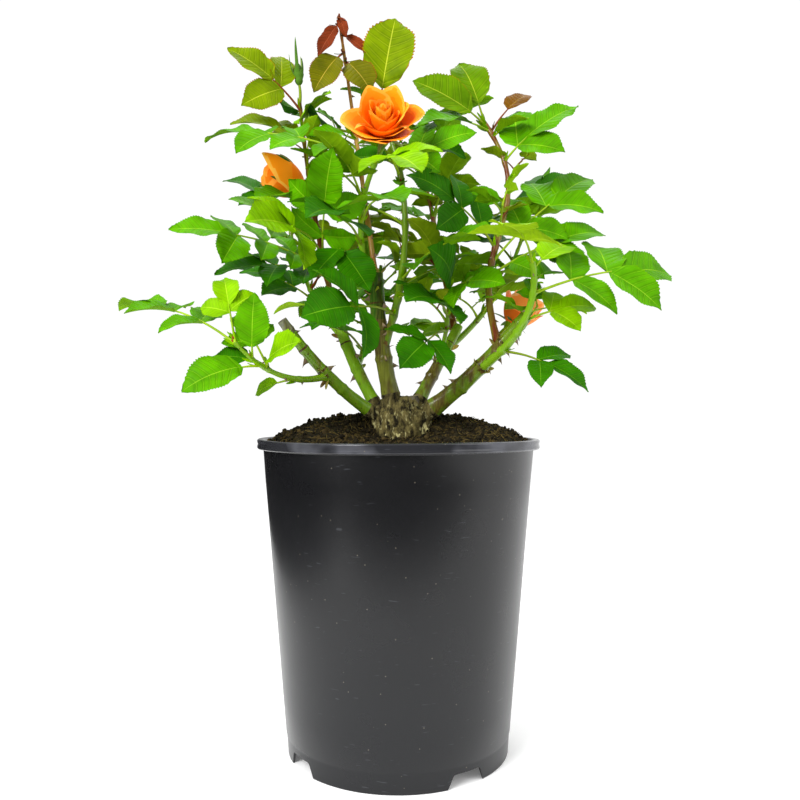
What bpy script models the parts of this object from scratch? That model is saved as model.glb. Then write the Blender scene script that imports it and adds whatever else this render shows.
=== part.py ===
"""Potted rose bush: a deep nursery pot, its compost, the bud union, five pruned canes and the leafy
shoots that grow from them, with three blooms and a bud. The front is -Y and the pot stands at z = 0."""

import math
import random

import bmesh
import bpy
from mathutils import Vector
from mathutils.bvhtree import BVHTree

# Sizes are in millimetres and angles in degrees, unless a name says otherwise.
MM = 0.001
GAP = 0.3                # air between two pieces that touch
UP = Vector((0, 0, 1))
FRONT = Vector((0, -1, 0))

# The pot
POT_TALL = 207.0
LIP_RADIUS = 95.0
LIP_TALL = 6.4
NECK_RADIUS = 90.8       # outside of the wall, just under the lip
FOOT_RADIUS = 73.8
WALL = 1.5
FLOOR_RAISED = 9.5       # the floor's underside, above the ground
NOTCHES = 4
NOTCH_TURN = 34.5        # of the first notch, from the front towards +X
NOTCH_WIDE = 28.0
NOTCH_TALL = 8.8
NOTCH_SLOPE = 4.0        # each sloping end, measured along the wall
POT_SEGMENTS = 48

# The compost: a mound, with a hollow in front of the plant
COMPOST_EDGE = 203.0
MOUND = 19.5
HOLLOW_SPREAD = 46.0     # sideways
HOLLOW_BACK = 8.0        # where the mound starts to fall, and the run of its slope
HOLLOW_DEEP = 22.0
HOLLOW_SHARE = 0.93
COMPOST_SEGMENTS = 28
MOUND_RINGS = (76, 58, 42, 28, 14)

# The bud union, a short gnarled trunk with a flat cut at compost level
TRUNK_MIDDLE = Vector((3, 1, 214))
TRUNK_RADIUS = 16.0
TRUNK_RISE = 18.5
TRUNK_CUT = 203.0
FLARE = 5.0
LOBE = 4.5
LOBE_SPREAD = 26.0       # degrees round each cane's foot
KNOB = 0.9
TRUNK_SEGMENTS = 22
DEAD_STUB = {"foot": Vector((8, -2, 224)), "top": Vector((9, -4, 238)), "radius": (6.0, 4.6)}

# Canes: where each leaves the trunk, its pruned tip, how far it bows, and its radius at both ends
CANES = {
    "cane_left": {"foot": (-20, -8, 226), "tip": (-74, -36, 283), "bow": (-1, 0, -4), "radius": (4.2, 3.2)},
    "cane_left_back": {"foot": (-17, 6, 232), "tip": (-48, 22, 308), "bow": (-3, 0, 0), "radius": (4.3, 3.7)},
    "cane_centre": {"foot": (-5, -5, 236), "tip": (-15, -8, 318), "bow": (-2, 0, 0), "radius": (5.8, 4.8)},
    "cane_right_back": {"foot": (15, 6, 234), "tip": (43, 24, 286), "bow": (0, 0, 0), "radius": (4.6, 3.3)},
    "cane_right": {"foot": (23, -5, 227), "tip": (84, -25, 288), "bow": (0, 0, -4), "radius": (6.0, 4.2)},
}
CANE_SUNK = 9.0          # each cane starts this far inside the trunk, and is then cut clear of it
CANE_SIDES = 10

# Leaves
TURN_PER_LEAF = 144.0    # a rose sets its leaves two fifths of a turn apart
STALK_RADIUS = 0.75
STALK_BOW = 0.09         # of the leaf's reach
BLADE_WIDE = 0.64        # width over length
BLADE_THICK = 0.9
BLADE_ARCH = 0.05
BLADE_FOLD = 0.28
BLADE_OUTLINE = ((-0.005, 0), (0.2, -0.88), (0.6, -0.84), (1, 0), (0.6, 0.84), (0.2, 0.88))
SIDE_ANGLE = 64.0        # between the stalk and a side leaflet
SIDE_SIZES = (0.92, 0.8, 0.64)
FIRST_PAIR = 0.26        # below the end leaflet, in leaflet lengths
PAIR_STEP = 0.62
STAGGER = 0.7            # opposite leaflets leave the stalk this far before and after the same place
END_SUNK = 1.6           # of the end leaflet in its stalk
CLEAR = 0.6              # a leaf keeps this far from every other piece
CROWN_HALF_WIDE = 184.0
CROWN_HALF_DEEP = 121.0
CROWN_TOP = 502.0
TRIALS = 28
NUDGE = 19.0
NUDGE_TURN = 40.0
SHOOT_SIDES = 6
SEED = 21


def leaf(at, tip, leaflets=5, size=34, face=25):
    """An aimed leaf: where it leaves its shoot, its tip, and how far its blades turn to the front."""
    return {"at": at, "tip": Vector(tip), "leaflets": leaflets, "size": size, "face": face}


# Shoots: the cane and the place on it, the tip, the bow, the radius at both ends, the aimed leaves,
# and how many more leaves the rule sets, how far they reach, and the first one's turn
SHOOTS = {
    "foliage_right_middle": {
        "cane": "cane_right_back", "at": 0.42, "tip": (34, -2, 312), "bow": (3, -1, 0), "radius": (1.9, 1.1),
        "leaves": [
            leaf(0.45, (2, -72, 252), 3, 30, 80),
            leaf(0.95, (21, -54, 326), 3, 40, 75),
            leaf(0.62, (6, -62, 294), 3, 34, 60),
            leaf(0.90, (68, -46, 304), 3, 30, 55),
        ],
        "fill": 2, "reach": 62, "turn": 80,
    },
    "foliage_left_low": {
        "cane": "cane_left", "at": 0.46, "tip": (-99, -61, 267), "bow": (-1, -5, -10), "radius": (2.3, 1.1),
        "leaves": [
            leaf(0.97, (-182, -25, 294), 5, 36, 15),
            leaf(0.99, (-111, -45, 307), 5, 23, 40),
            leaf(0.70, (-126, -80, 238), 1, 37, 50),
            leaf(0.76, (-117, -46, 259), 1, 34, 45),
            leaf(0.80, (-86, -68, 296), 3, 31, 75),
            leaf(0.66, (-57, -86, 266), 1, 30, 60),
            leaf(0.30, (-93, -28, 236), 1, 17, 45),
        ],
        "fill": 0, "reach": 60, "turn": 0,
    },
    "foliage_left_top": {
        "cane": "cane_left_back", "at": 0.90, "tip": (-70, 20, 446), "bow": (-3, 4, 0), "radius": (2.2, 1.1),
        "leaves": [
            leaf(0.95, (-119, 8, 478), 5, 36, 55),
            leaf(0.86, (-46, -12, 440), 3, 25, 45),
            leaf(0.80, (-116, 4, 424), 5, 35, 40),
            leaf(0.46, (-93, -34, 368), 1, 42, 30),
            leaf(0.16, (-146, -38, 341), 7, 34, 45),
            leaf(0.24, (-88, -78, 338), 3, 38, 75),
            leaf(0.14, (-123, -12, 318), 5, 34, 35),
            leaf(0.20, (-41, -54, 380), 5, 35, 80),
            leaf(0.38, (-18, -40, 309), 3, 36, 60),
        ],
        "fill": 3, "reach": 72, "turn": 60,
    },
    "foliage_bloom": {
        "cane": "cane_centre", "at": 0.80, "tip": (-9, -29, 398), "bow": (-13, -1, 0), "radius": (2.1, 1.6),
        "leaves": [
            leaf(0.86, (-131, -14, 411), 7, 36, 35),
            leaf(0.88, (14, -90, 362), 3, 34, 45),
            leaf(0.62, (-60, -62, 388), 5, 34, 50),
            leaf(0.35, (-50, -102, 335), 3, 36, 55),
            leaf(0.50, (2, -108, 340), 3, 36, 45),
        ],
        "fill": 1, "reach": 70, "turn": 200,
    },
    "foliage_red_tip": {
        "cane": "cane_centre", "at": 0.94, "tip": (-42, 6, 483), "bow": (0, 17, 0), "radius": (1.9, 0.9),
        "leaves": [
            leaf(0.98, (-52, -8, 465), 3, 25, 70),
            leaf(0.96, (-20, 1, 471), 1, 17, 40),
            leaf(1.00, (-38, 4, 500), 1, 17, 60),
            leaf(0.91, (-57, -8, 442), 3, 31, 75),
            leaf(0.88, (-18, -10, 441), 3, 31, 75),
        ],
        "fill": 4, "reach": 66, "turn": 100,
    },
    "foliage_centre": {
        "cane": "cane_centre", "at": 0.37, "tip": (-14, 9, 436), "bow": (17, -14, 0), "radius": (2.8, 1.4),
        "leaves": [
            leaf(0.99, (-2, 12, 501), 3, 52, 82),
            leaf(0.27, (60, -52, 333), 5, 34, 50),
            leaf(0.14, (-53, -98, 279), 3, 37, 78),
            leaf(0.20, (13, -42, 304), 1, 20, 20),
            leaf(0.82, (46, -8, 398), 5, 34, 45),
        ],
        "fill": 4, "reach": 72, "turn": 20,
    },
    "foliage_right_top": {
        "cane": "cane_right", "at": 0.71, "tip": (59, 8, 427), "bow": (6, -4, 0), "sway": (-9, 0, 0),
        "radius": (2.5, 1.3),
        "leaves": [
            leaf(0.99, (43, 20, 474), 3, 38, 65),
            leaf(0.97, (10, 3, 453), 1, 44, 65),
            leaf(0.95, (13, -16, 417), 3, 38, 30),
            leaf(0.92, (87, -16, 420), 1, 28, 15),
            leaf(0.94, (94, 24, 453), 1, 26, 40),
            leaf(0.80, (122, -8, 432), 3, 38, 45),
            leaf(0.42, (6, -38, 377), 5, 33, 50),
            leaf(0.36, (138, 22, 391), 5, 40, 50),
            leaf(0.30, (141, -4, 347), 5, 38, 45),
        ],
        "fill": 2, "reach": 70, "turn": 200,
    },
    "foliage_right_outer": {
        "cane": "cane_right", "at": 0.48, "tip": (84, -46, 319), "bow": (11, -11, -4), "radius": (3.0, 1.8),
        "leaves": [
            leaf(0.98, (57, -116, 326), 3, 35, 30),
            leaf(0.74, (184, -18, 315), 5, 42, 50),
            leaf(0.22, (118, -52, 238), 3, 29, 35),
            leaf(0.94, (112, -24, 334), 3, 30, 40),
        ],
        "fill": 1, "reach": 64, "turn": 330,
    },
    "foliage_back_left": {
        "cane": "cane_left_back", "at": 0.58, "tip": (-88, 80, 380), "bow": (-5, 10, -8), "radius": (2.4, 1.1),
        "leaves": [], "fill": 7, "reach": 70, "turn": 30,
    },
    "foliage_back_middle": {
        "cane": "cane_left_back", "at": 0.30, "tip": (-14, 84, 340), "bow": (0, 10, -8), "radius": (2.3, 1.1),
        "leaves": [], "fill": 7, "reach": 66, "turn": 250,
    },
    "foliage_back_top": {
        "cane": "cane_right_back", "at": 0.90, "tip": (16, 70, 424), "bow": (2, 14, 0), "radius": (2.3, 1.1),
        "leaves": [], "fill": 8, "reach": 72, "turn": 75,
    },
    "foliage_back_right": {
        "cane": "cane_right_back", "at": 0.66, "tip": (100, 74, 372), "bow": (6, 8, -8), "radius": (2.3, 1.1),
        "leaves": [], "fill": 8, "reach": 70, "turn": 140,
    },
}
FILL_FROM = 0.22         # the rule's first leaf, as a fraction of its shoot
FILL_TO = 0.97
FILL_RISE = 0.35         # a rule leaf climbs this much for each unit outwards

# Blooms: the shoot and the place on it, the base of the petals, the way it opens, and its radius
BLOOMS = {
    "open_bloom": {"shoot": "foliage_bloom", "at": 1.0, "base": (-9, -30, 400), "way": (0, -0.62, 0.78),
                   "radius": 27, "deep": 34, "core": 0.62, "point": 0.1, "petals": 7, "spread": 55, "turn": 20},
    "left_bud": {"shoot": "foliage_left_top", "at": 0.52, "base": (-69, 12, 386), "way": (-0.93, -0.2, 0.36),
                 "radius": 12.5, "deep": 33, "core": 0.95, "point": 0.5, "petals": 3, "spread": 9, "turn": 20},
    "right_bloom": {"shoot": "foliage_right_top", "at": 0.04, "base": (76, 5, 284), "way": (0.62, 0.1, 0.78),
                    "radius": 15, "deep": 25, "core": 0.7, "point": 0.2, "petals": 5, "spread": 24, "turn": 50},
}
FLOWER_STALK = (1.5, 1.3, 1.5)
STALK_LIFT = 1.5
HIP_RADIUS = 3.4
HIP_DEEP = 5.0
PETAL_WIDE = 0.84        # width over length
PETAL_THICK = 1.6
PETAL_CUP = 0.35         # of the half width, at the petal's edges
PETAL_CURL = 0.1         # of the length, outwards at its tip
PETAL_OUTLINE = ((0, 0.25), (0.3, 0.8), (0.65, 1), (0.92, 0.6))
GREEN_BUD = {"shoot": "foliage_left_top", "way": (-0.04, -0.03, 1), "radius": 4.6, "deep": 15, "sepal": 27,
             "sepal_radius": (2.6, 1.4, 0.4)}

# Finishes: the base colour, linear, and the roughness
FINISHES = {
    "pot_plastic": ((0.024, 0.024, 0.028), 0.35),
    "compost": ((0.015, 0.013, 0.006), 0.95),
    "bark": ((0.095, 0.078, 0.028), 0.85),
    "cane_rind": ((0.095, 0.17, 0.012), 0.5),
    "leaf_green": ((0.09, 0.30, 0.005), 0.45),
}


def clear_scene():
    for old in list(bpy.data.objects):
        bpy.data.objects.remove(old, do_unlink=True)


def new_collection(name):
    group = bpy.data.collections.new(name)
    bpy.context.scene.collection.children.link(group)
    return group


def finish_material(name, colour, roughness):
    finish = bpy.data.materials.new(name)
    finish.use_nodes = True
    shader = finish.node_tree.nodes["Principled BSDF"]
    shader.inputs["Base Color"].default_value = (*colour, 1)
    shader.inputs["Roughness"].default_value = roughness
    shader.inputs["Metallic"].default_value = 0
    finish.diffuse_color = (*colour, 1)
    return finish


# ---------------------------------------------------------------- meshes

def mesh_object(name, mesh, group):
    piece = bpy.data.objects.new(name, mesh)
    group.objects.link(piece)
    return piece


def mesh_from(name, points, faces):
    """A mesh in metres from points in millimetres."""
    mesh = bpy.data.meshes.new(name)
    mesh.from_pydata([Vector(point) * MM for point in points], [], faces)
    weld(mesh)
    return mesh


def weld(mesh):
    shape = bmesh.new()
    shape.from_mesh(mesh)
    bmesh.ops.remove_doubles(shape, verts=shape.verts, dist=0.00001)
    bmesh.ops.recalc_face_normals(shape, faces=shape.faces)
    shape.to_mesh(mesh)
    shape.free()


def evaluated_mesh(piece):
    depsgraph = bpy.context.evaluated_depsgraph_get()
    return bpy.data.meshes.new_from_object(piece.evaluated_get(depsgraph))


def tube(name, points, radii, sides, group):
    """A round limb along the points, with closed ends."""
    curve = bpy.data.curves.new(name, "CURVE")
    curve.dimensions = "3D"
    curve.bevel_depth = MM
    curve.bevel_resolution = (sides - 4) // 2
    curve.use_fill_caps = True
    spline = curve.splines.new("POLY")
    spline.points.add(len(points) - 1)
    for knot, place, radius in zip(spline.points, points, radii):
        knot.co = (*(place * MM), 1)
        knot.radius = radius
    holder = bpy.data.objects.new(name, curve)
    bpy.context.scene.collection.objects.link(holder)
    mesh = evaluated_mesh(holder)
    bpy.data.objects.remove(holder)
    weld(mesh)
    return mesh_object(name, mesh, group)


def keep_main_body(mesh):
    """Drops the scraps and sealed hollows that a union can leave: all but the largest shell."""
    shape = bmesh.new()
    shape.from_mesh(mesh)
    left = set(shape.faces)
    shells = []
    while left:
        shell = {left.pop()}
        front = list(shell)
        while front:
            face = front.pop()
            for edge in face.edges:
                for near in edge.link_faces:
                    if near in left:
                        left.remove(near)
                        shell.add(near)
                        front.append(near)
        shells.append(shell)
    shells.sort(key=len)
    for shell in shells[:-1]:
        print("  dropped a shell of", len(shell), "faces from", mesh.name)
        bmesh.ops.delete(shape, geom=list(shell), context="FACES")
    shape.to_mesh(mesh)
    shape.free()


def apply_boolean(piece, operation, tools, solver="EXACT"):
    """Cuts or joins the piece by every object of the tools' collection, which is then emptied."""
    change = piece.modifiers.new(operation.lower(), "BOOLEAN")
    change.operation = operation
    change.operand_type = "COLLECTION"
    change.collection = tools
    change.solver = solver
    mesh = evaluated_mesh(piece)
    mesh.name = piece.name
    piece.modifiers.clear()
    old = piece.data
    piece.data = mesh
    bpy.data.meshes.remove(old)
    for tool in list(tools.objects):
        bpy.data.objects.remove(tool)
    keep_main_body(piece.data)


# ---------------------------------------------------------------- pot and compost

def wall_radius(height):
    """Outside of the pot's wall at a height."""
    return FOOT_RADIUS + (NECK_RADIUS - FOOT_RADIUS) * height / (POT_TALL - LIP_TALL)


def turned(name, profile, segments, group):
    """A turned piece from its half section."""
    mesh = bpy.data.meshes.new(name)
    points = [(radius * MM, 0, height * MM) for radius, height in profile]
    mesh.from_pydata(points, [(i, i + 1) for i in range(len(points) - 1)], [])
    piece = mesh_object(name, mesh, group)
    screw = piece.modifiers.new("turn", "SCREW")
    screw.axis = "Z"
    screw.steps = segments
    screw.render_steps = segments
    screw.use_merge_vertices = True
    screw.merge_threshold = 0.0001
    screw.use_normal_calculate = True
    return piece


def make_pot(parts, tools):
    under_lip = POT_TALL - LIP_TALL
    floor_top = FLOOR_RAISED + WALL
    profile = [
        (0, floor_top),
        (wall_radius(floor_top) - WALL, floor_top),
        (wall_radius(under_lip) - WALL, under_lip),
        (NECK_RADIUS - WALL + 1.4, POT_TALL - 0.8),
        (LIP_RADIUS - 2.6, POT_TALL),
        (LIP_RADIUS - 0.8, POT_TALL - 0.1),
        (LIP_RADIUS, POT_TALL - 0.9),
        (LIP_RADIUS, under_lip + 1.7),
        (LIP_RADIUS - 0.7, under_lip + 1.2),
        (LIP_RADIUS - 0.7, under_lip + 0.4),
        (LIP_RADIUS - 1.2, under_lip),
        (NECK_RADIUS + 0.8, under_lip),
        (NECK_RADIUS, under_lip - 1.6),
        (FOOT_RADIUS + 0.2, 1.2),
        (FOOT_RADIUS - 0.3, 0),
        (FOOT_RADIUS - WALL, 0),
        (wall_radius(FLOOR_RAISED) - WALL - 0.8, FLOOR_RAISED),
        (0, FLOOR_RAISED),
    ]
    pot = turned("pot", profile, POT_SEGMENTS, parts)
    for k in range(NOTCHES):
        turn = math.radians(NOTCH_TURN + k * 360 / NOTCHES)
        bpy.ops.mesh.primitive_cube_add(size=1)
        notch = bpy.context.object
        notch.name = f"notch_{k + 1}"
        below = 1.0
        deep = 9.0
        half = {-1: NOTCH_WIDE / 2, 1: NOTCH_WIDE / 2 - NOTCH_SLOPE}
        for corner in notch.data.vertices:
            level = 1 if corner.co.z > 0 else -1
            side = math.copysign(half[level], corner.co.x)
            out = math.copysign(deep / 2, corner.co.y)
            corner.co = Vector((side, out, NOTCH_TALL if level > 0 else -below)) * MM
        middle = FOOT_RADIUS * MM
        notch.location = (middle * math.sin(turn), -middle * math.cos(turn), 0)
        notch.rotation_euler = (0, 0, turn)
        notch.hide_render = True
        notch.display_type = "WIRE"
        for owner in list(notch.users_collection):
            owner.objects.unlink(notch)
        tools.objects.link(notch)
    cut = pot.modifiers.new("notches", "BOOLEAN")
    cut.operation = "DIFFERENCE"
    cut.operand_type = "COLLECTION"
    cut.collection = tools
    return pot


def mound_height(x, y):
    """Top of the compost: a mound behind and beside the plant that falls away in front of it."""
    out = math.hypot(x, y)
    rise = MOUND * max(0, 1 - (out / (NECK_RADIUS - WALL)) ** 3)
    ahead = min(1, max(0, (HOLLOW_BACK - y) / HOLLOW_DEEP))
    hollow = HOLLOW_SHARE * ahead * math.exp(-(x / HOLLOW_SPREAD) ** 2)
    lumps = 0.8 * math.sin(0.21 * x + 1) * math.cos(0.17 * y) * min(1, rise / 6)
    return COMPOST_EDGE + rise * (1 - hollow) + lumps


def make_compost(parts, tools):
    low = FLOOR_RAISED + WALL + GAP
    shy = WALL + GAP
    top_radius = wall_radius(COMPOST_EDGE - 3) - shy
    profile = [(0, COMPOST_EDGE)]
    profile += [(radius, COMPOST_EDGE) for radius in reversed(MOUND_RINGS)]
    profile += [(top_radius - 2, COMPOST_EDGE), (top_radius, COMPOST_EDGE - 3)]
    profile += [(wall_radius(low) - shy, low), (0, low)]
    blank = turned("compost", profile, COMPOST_SEGMENTS, parts)
    mesh = evaluated_mesh(blank)
    blank.modifiers.clear()
    blank.data = mesh
    for point in mesh.vertices:
        if point.co.z > (COMPOST_EDGE - 1) * MM:
            point.co.z = mound_height(point.co.x / MM, point.co.y / MM) * MM
    trunk_body("trunk_seat", 2 * GAP, tools)
    apply_boolean(blank, "DIFFERENCE", tools)
    return blank


# ---------------------------------------------------------------- trunk and canes

def trunk_radius(way, feet):
    """How far the bark stands from the trunk's middle, in the direction given, before the flare."""
    turn = math.atan2(way.y, way.x)
    swell = sum(math.exp(-(math.degrees(way.angle(foot)) / LOBE_SPREAD) ** 2) for foot in feet)
    coarse = KNOB * math.sin(5 * turn + 2) * math.cos(4 * way.z)
    fine = KNOB * 0.7 * math.sin(9 * turn + 6 * way.z)
    return TRUNK_RADIUS + LOBE * min(1, swell) + coarse + fine


def trunk_body(name, extra, group):
    """The trunk as one solid, thicker by an extra all over."""
    shape = bmesh.new()
    bmesh.ops.create_uvsphere(shape, u_segments=TRUNK_SEGMENTS, v_segments=TRUNK_SEGMENTS // 2, radius=1)
    feet = [(Vector(cane["foot"]) - TRUNK_MIDDLE).normalized() for cane in CANES.values()]
    for point in shape.verts:
        way = point.co.normalized()
        level = math.hypot(way.x, way.y) if way.z > 0 else 1
        flare = FLARE * max(0, -way.z) ** 1.5
        wide = level * (trunk_radius(way, feet) + flare + extra)
        turn = math.atan2(way.y, way.x)
        offset = Vector((math.cos(turn) * wide, math.sin(turn) * wide, way.z * (TRUNK_RISE + extra)))
        point.co = (TRUNK_MIDDLE + offset) * MM
    plane = Vector((0, 0, TRUNK_CUT - extra)) * MM
    everything = shape.verts[:] + shape.edges[:] + shape.faces[:]
    cut = bmesh.ops.bisect_plane(shape, geom=everything, plane_co=plane, plane_no=-UP, clear_outer=True)
    rim = [item for item in cut["geom_cut"] if isinstance(item, bmesh.types.BMEdge)]
    bmesh.ops.holes_fill(shape, edges=rim)
    bmesh.ops.recalc_face_normals(shape, faces=shape.faces)
    bmesh.ops.triangulate(shape, faces=shape.faces)
    mesh = bpy.data.meshes.new(name)
    shape.to_mesh(mesh)
    shape.free()
    body = mesh_object(name, mesh, group)
    stub = new_collection("stub")
    foot, top = DEAD_STUB["foot"], DEAD_STUB["top"]
    beyond = (top - foot).normalized() * extra
    radii = [radius + extra for radius in DEAD_STUB["radius"]]
    tube("dead_stub", [foot, top + beyond], radii, CANE_SIDES, stub)
    apply_boolean(body, "UNION", stub)
    bpy.data.collections.remove(stub)
    return body


def bowed(start, end, bow, count, sway=(0, 0, 0)):
    """Points from start to end, pushed aside by the bow at the middle and by the sway at the quarters."""
    points = []
    for i in range(count):
        t = i / (count - 1)
        aside = bow * 4 * t * (1 - t) + Vector(sway) * math.sin(2 * math.pi * t)
        points.append(start.lerp(end, t) + aside)
    return points


def tapered(first, last, count):
    return [first + (last - first) * i / (count - 1) for i in range(count)]


def cane_path(cane):
    """A cane's points, from inside the trunk to its pruned tip."""
    foot = Vector(cane["foot"])
    points = bowed(foot, Vector(cane["tip"]), Vector(cane["bow"]), 8)
    return [foot - (points[1] - foot).normalized() * CANE_SUNK] + points


def cane_tube(name, cane, extra, group):
    points = cane_path(cane)
    first, last = cane["radius"]
    radii = [first + extra] + [radius + extra for radius in tapered(first, last, len(points) - 1)]
    return tube(name, points, radii, CANE_SIDES, group)


def make_canes(parts, tools):
    canes = {}
    for name, cane in CANES.items():
        canes[name] = cane_tube(name, cane, 0, parts)
        trunk_body("clear_of_trunk", 2 * GAP, tools)
        apply_boolean(canes[name], "DIFFERENCE", tools)
    return canes


# ---------------------------------------------------------------- the rule for shoots and leaves

def along(points, fraction):
    """The place and the way at a fraction of a path."""
    place = fraction * (len(points) - 1)
    i = min(int(place), len(points) - 2)
    return points[i].lerp(points[i + 1], place - i), (points[i + 1] - points[i]).normalized()


def shoot_path(shoot):
    cane = CANES[shoot["cane"]]
    route = bowed(Vector(cane["foot"]), Vector(cane["tip"]), Vector(cane["bow"]), 24)
    start = along(route, shoot["at"])[0]
    return bowed(start, Vector(shoot["tip"]), Vector(shoot["bow"]), 8, shoot.get("sway", (0, 0, 0)))


def square_to(vector, axis):
    """The part of a vector that is at right angles to an axis, at unit length."""
    return (vector - axis * vector.dot(axis)).normalized()


def lens(rim, middle, normal, thick):
    """A thin solid from a rim, raised on both sides at its middle: its points and faces."""
    points = rim + [middle + normal * thick / 2, middle - normal * thick / 2]
    top, under = len(rim), len(rim) + 1
    faces = []
    for i in range(len(rim)):
        following = (i + 1) % len(rim)
        faces += [(following, i, top), (i, following, under)]
    return points, faces


def blade(base, way, normal, length):
    """One leaflet as a thin folded lens: its points and faces."""
    side = way.cross(normal)
    half = length * BLADE_WIDE / 2

    def place(t, across):
        lift = BLADE_ARCH * length * 4 * t * (1 - t) + BLADE_FOLD * abs(across) * half
        return base + way * t * length + side * across * half + normal * lift

    rim = [place(t, across) for t, across in BLADE_OUTLINE]
    return lens(rim, place(0.45, 0), normal, BLADE_THICK)


def compound_leaf(base, tip, leaflets, size, facing, chance):
    """The stalk's points and the leaflets of one leaf."""
    chord = tip - base
    reach = chord.length
    normal = square_to(facing, chord.normalized())
    lift = normal * STALK_BOW * reach

    end = max(0.2, 1 - size / reach)
    bends = 2 if leaflets < 5 else 3
    stalk = []
    for i in range(bends + 1):
        t = end * i / bends
        stalk.append(base + chord * t + lift * 4 * t * (1 - t))
    start = stalk[-1]
    way = (tip - start).normalized()
    blades = []
    blades.append((start - way * END_SUNK, way, square_to(normal, way), (tip - start).length + END_SUNK))
    for pair in range((leaflets - 1) // 2):
        t = end - (FIRST_PAIR + PAIR_STEP * pair) * size / reach
        if t < 0.16:
            break
        middle, forward = along(stalk, t / end)
        across = forward.cross(normal).normalized()
        for hand in (-1, 1):
            angle = math.radians(SIDE_ANGLE + chance.uniform(-7, 7))
            side = across * hand
            way = forward * math.cos(angle) + side * math.sin(angle) - normal * chance.uniform(0.0, 0.22)
            way.normalize()
            up = square_to(normal + side * chance.uniform(-0.3, 0.25), way)
            root = middle + forward * STAGGER * hand
            blades.append((root, way, up, size * SIDE_SIZES[pair] * chance.uniform(0.93, 1.05)))
    return stalk, blades


class Space:
    """What is already placed, so that each new leaf keeps clear of it."""

    def __init__(self):
        self.taken = []

    def take(self, owner, points, faces):
        low, high = box_of(points)
        self.taken.append((owner, low, high, BVHTree.FromPolygons(points, faces)))

    def is_free(self, stem, points, faces):
        low, high = box_of(points)
        tree = BVHTree.FromPolygons(points, faces)
        for owner, other_low, other_high, other in self.taken:
            if owner == stem or not boxes_meet(low, high, other_low, other_high):
                continue
            if tree.overlap(other):
                return False
            if any(other.find_nearest(point, CLEAR)[0] is not None for point in points):
                return False
        return True


def box_of(points):
    low = [min(point[axis] for point in points) - CLEAR for axis in range(3)]
    high = [max(point[axis] for point in points) + CLEAR for axis in range(3)]
    return low, high


def boxes_meet(low, high, other_low, other_high):
    return all(low[axis] < other_high[axis] and other_low[axis] < high[axis] for axis in range(3))


def in_crown(points):
    return all(abs(point.x) < CROWN_HALF_WIDE and abs(point.y) < CROWN_HALF_DEEP and point.z < CROWN_TOP
               for point in points)


def stalk_shell(stalk):
    """A stalk as a flat strip, to test its space with."""
    side = square_to(Vector((0.3, 0.5, 1)), (stalk[-1] - stalk[0]).normalized()) * STALK_RADIUS
    points = [point + side * hand for point in stalk for hand in (-1, 1)]
    faces = [(2 * i, 2 * i + 1, 2 * i + 3, 2 * i + 2) for i in range(len(stalk) - 1)]
    return points, faces


def try_leaf(space, name, base, row, chance):
    """Sets a leaf where it fits, moved a little at a time until it does, less any leaflet that touches."""
    state = chance.getstate()
    nudges = random.Random(f"{SEED} {name} {round(row['tip'].x)}")
    best = None
    for trial in range(TRIALS):
        loose = trial / TRIALS
        shift = Vector([nudges.uniform(-1, 1) for axis in range(3)]) * NUDGE * loose
        chance.setstate(state)
        angle = math.radians(row["face"] + nudges.uniform(-1, 1) * NUDGE_TURN * loose)
        facing = UP * math.cos(angle) + row.get("outward", FRONT) * math.sin(angle)
        stalk, blades = compound_leaf(base, row["tip"] + shift, row["leaflets"], row["size"], facing, chance)
        if not space.is_free(name, *stalk_shell(stalk)):
            continue
        free = []
        for leaflet in blades:
            shell = blade(*leaflet)
            if in_crown(shell[0]) and space.is_free(name, *shell):
                free.append(leaflet)
        if not free or free[0] is not blades[0]:
            continue
        if best is None or len(free) > len(best[1]):
            best = (stalk, free)
        if len(free) == len(blades):
            break
    if best is None:
        print("  skipped a leaf of", name, "near", [round(value) for value in row["tip"]])
        return None
    stalk, free = best
    space.take(name + "_leaf", *stalk_shell(stalk))
    for leaflet in free:
        space.take(name + "_leaf", *blade(*leaflet))
    return best


def rule_leaves(shoot, path, chance):
    """The leaves that the rule sets, two fifths of a turn apart up the shoot."""
    rows = []
    count = shoot["fill"]
    for k in range(count):
        at = FILL_FROM + (FILL_TO - FILL_FROM) * (k + chance.uniform(-0.2, 0.2)) / max(1, count - 1)
        at = min(max(at, FILL_FROM), 1)
        base, way = along(path, at)
        turn = math.radians(shoot["turn"] + TURN_PER_LEAF * k + chance.uniform(-14, 14))
        out = Vector((math.cos(turn), math.sin(turn), 0))
        reach = shoot["reach"] * chance.uniform(0.85, 1.12)
        climb = UP * (FILL_RISE * (at + 0.2) + chance.uniform(-0.15, 0.15))
        tip = base + (out + climb + way * 0.25).normalized() * reach
        leaflets = chance.choice((5, 5, 5, 7, 3))
        rows.append({"at": at, "tip": tip, "leaflets": leaflets, "size": 33 * chance.uniform(0.88, 1.12),
                     "face": chance.uniform(15, 58), "outward": out})
    return rows


def limb_shell(mesh):
    points = [vertex.co / MM for vertex in mesh.vertices]
    return points, [tuple(face.vertices) for face in mesh.polygons]


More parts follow.
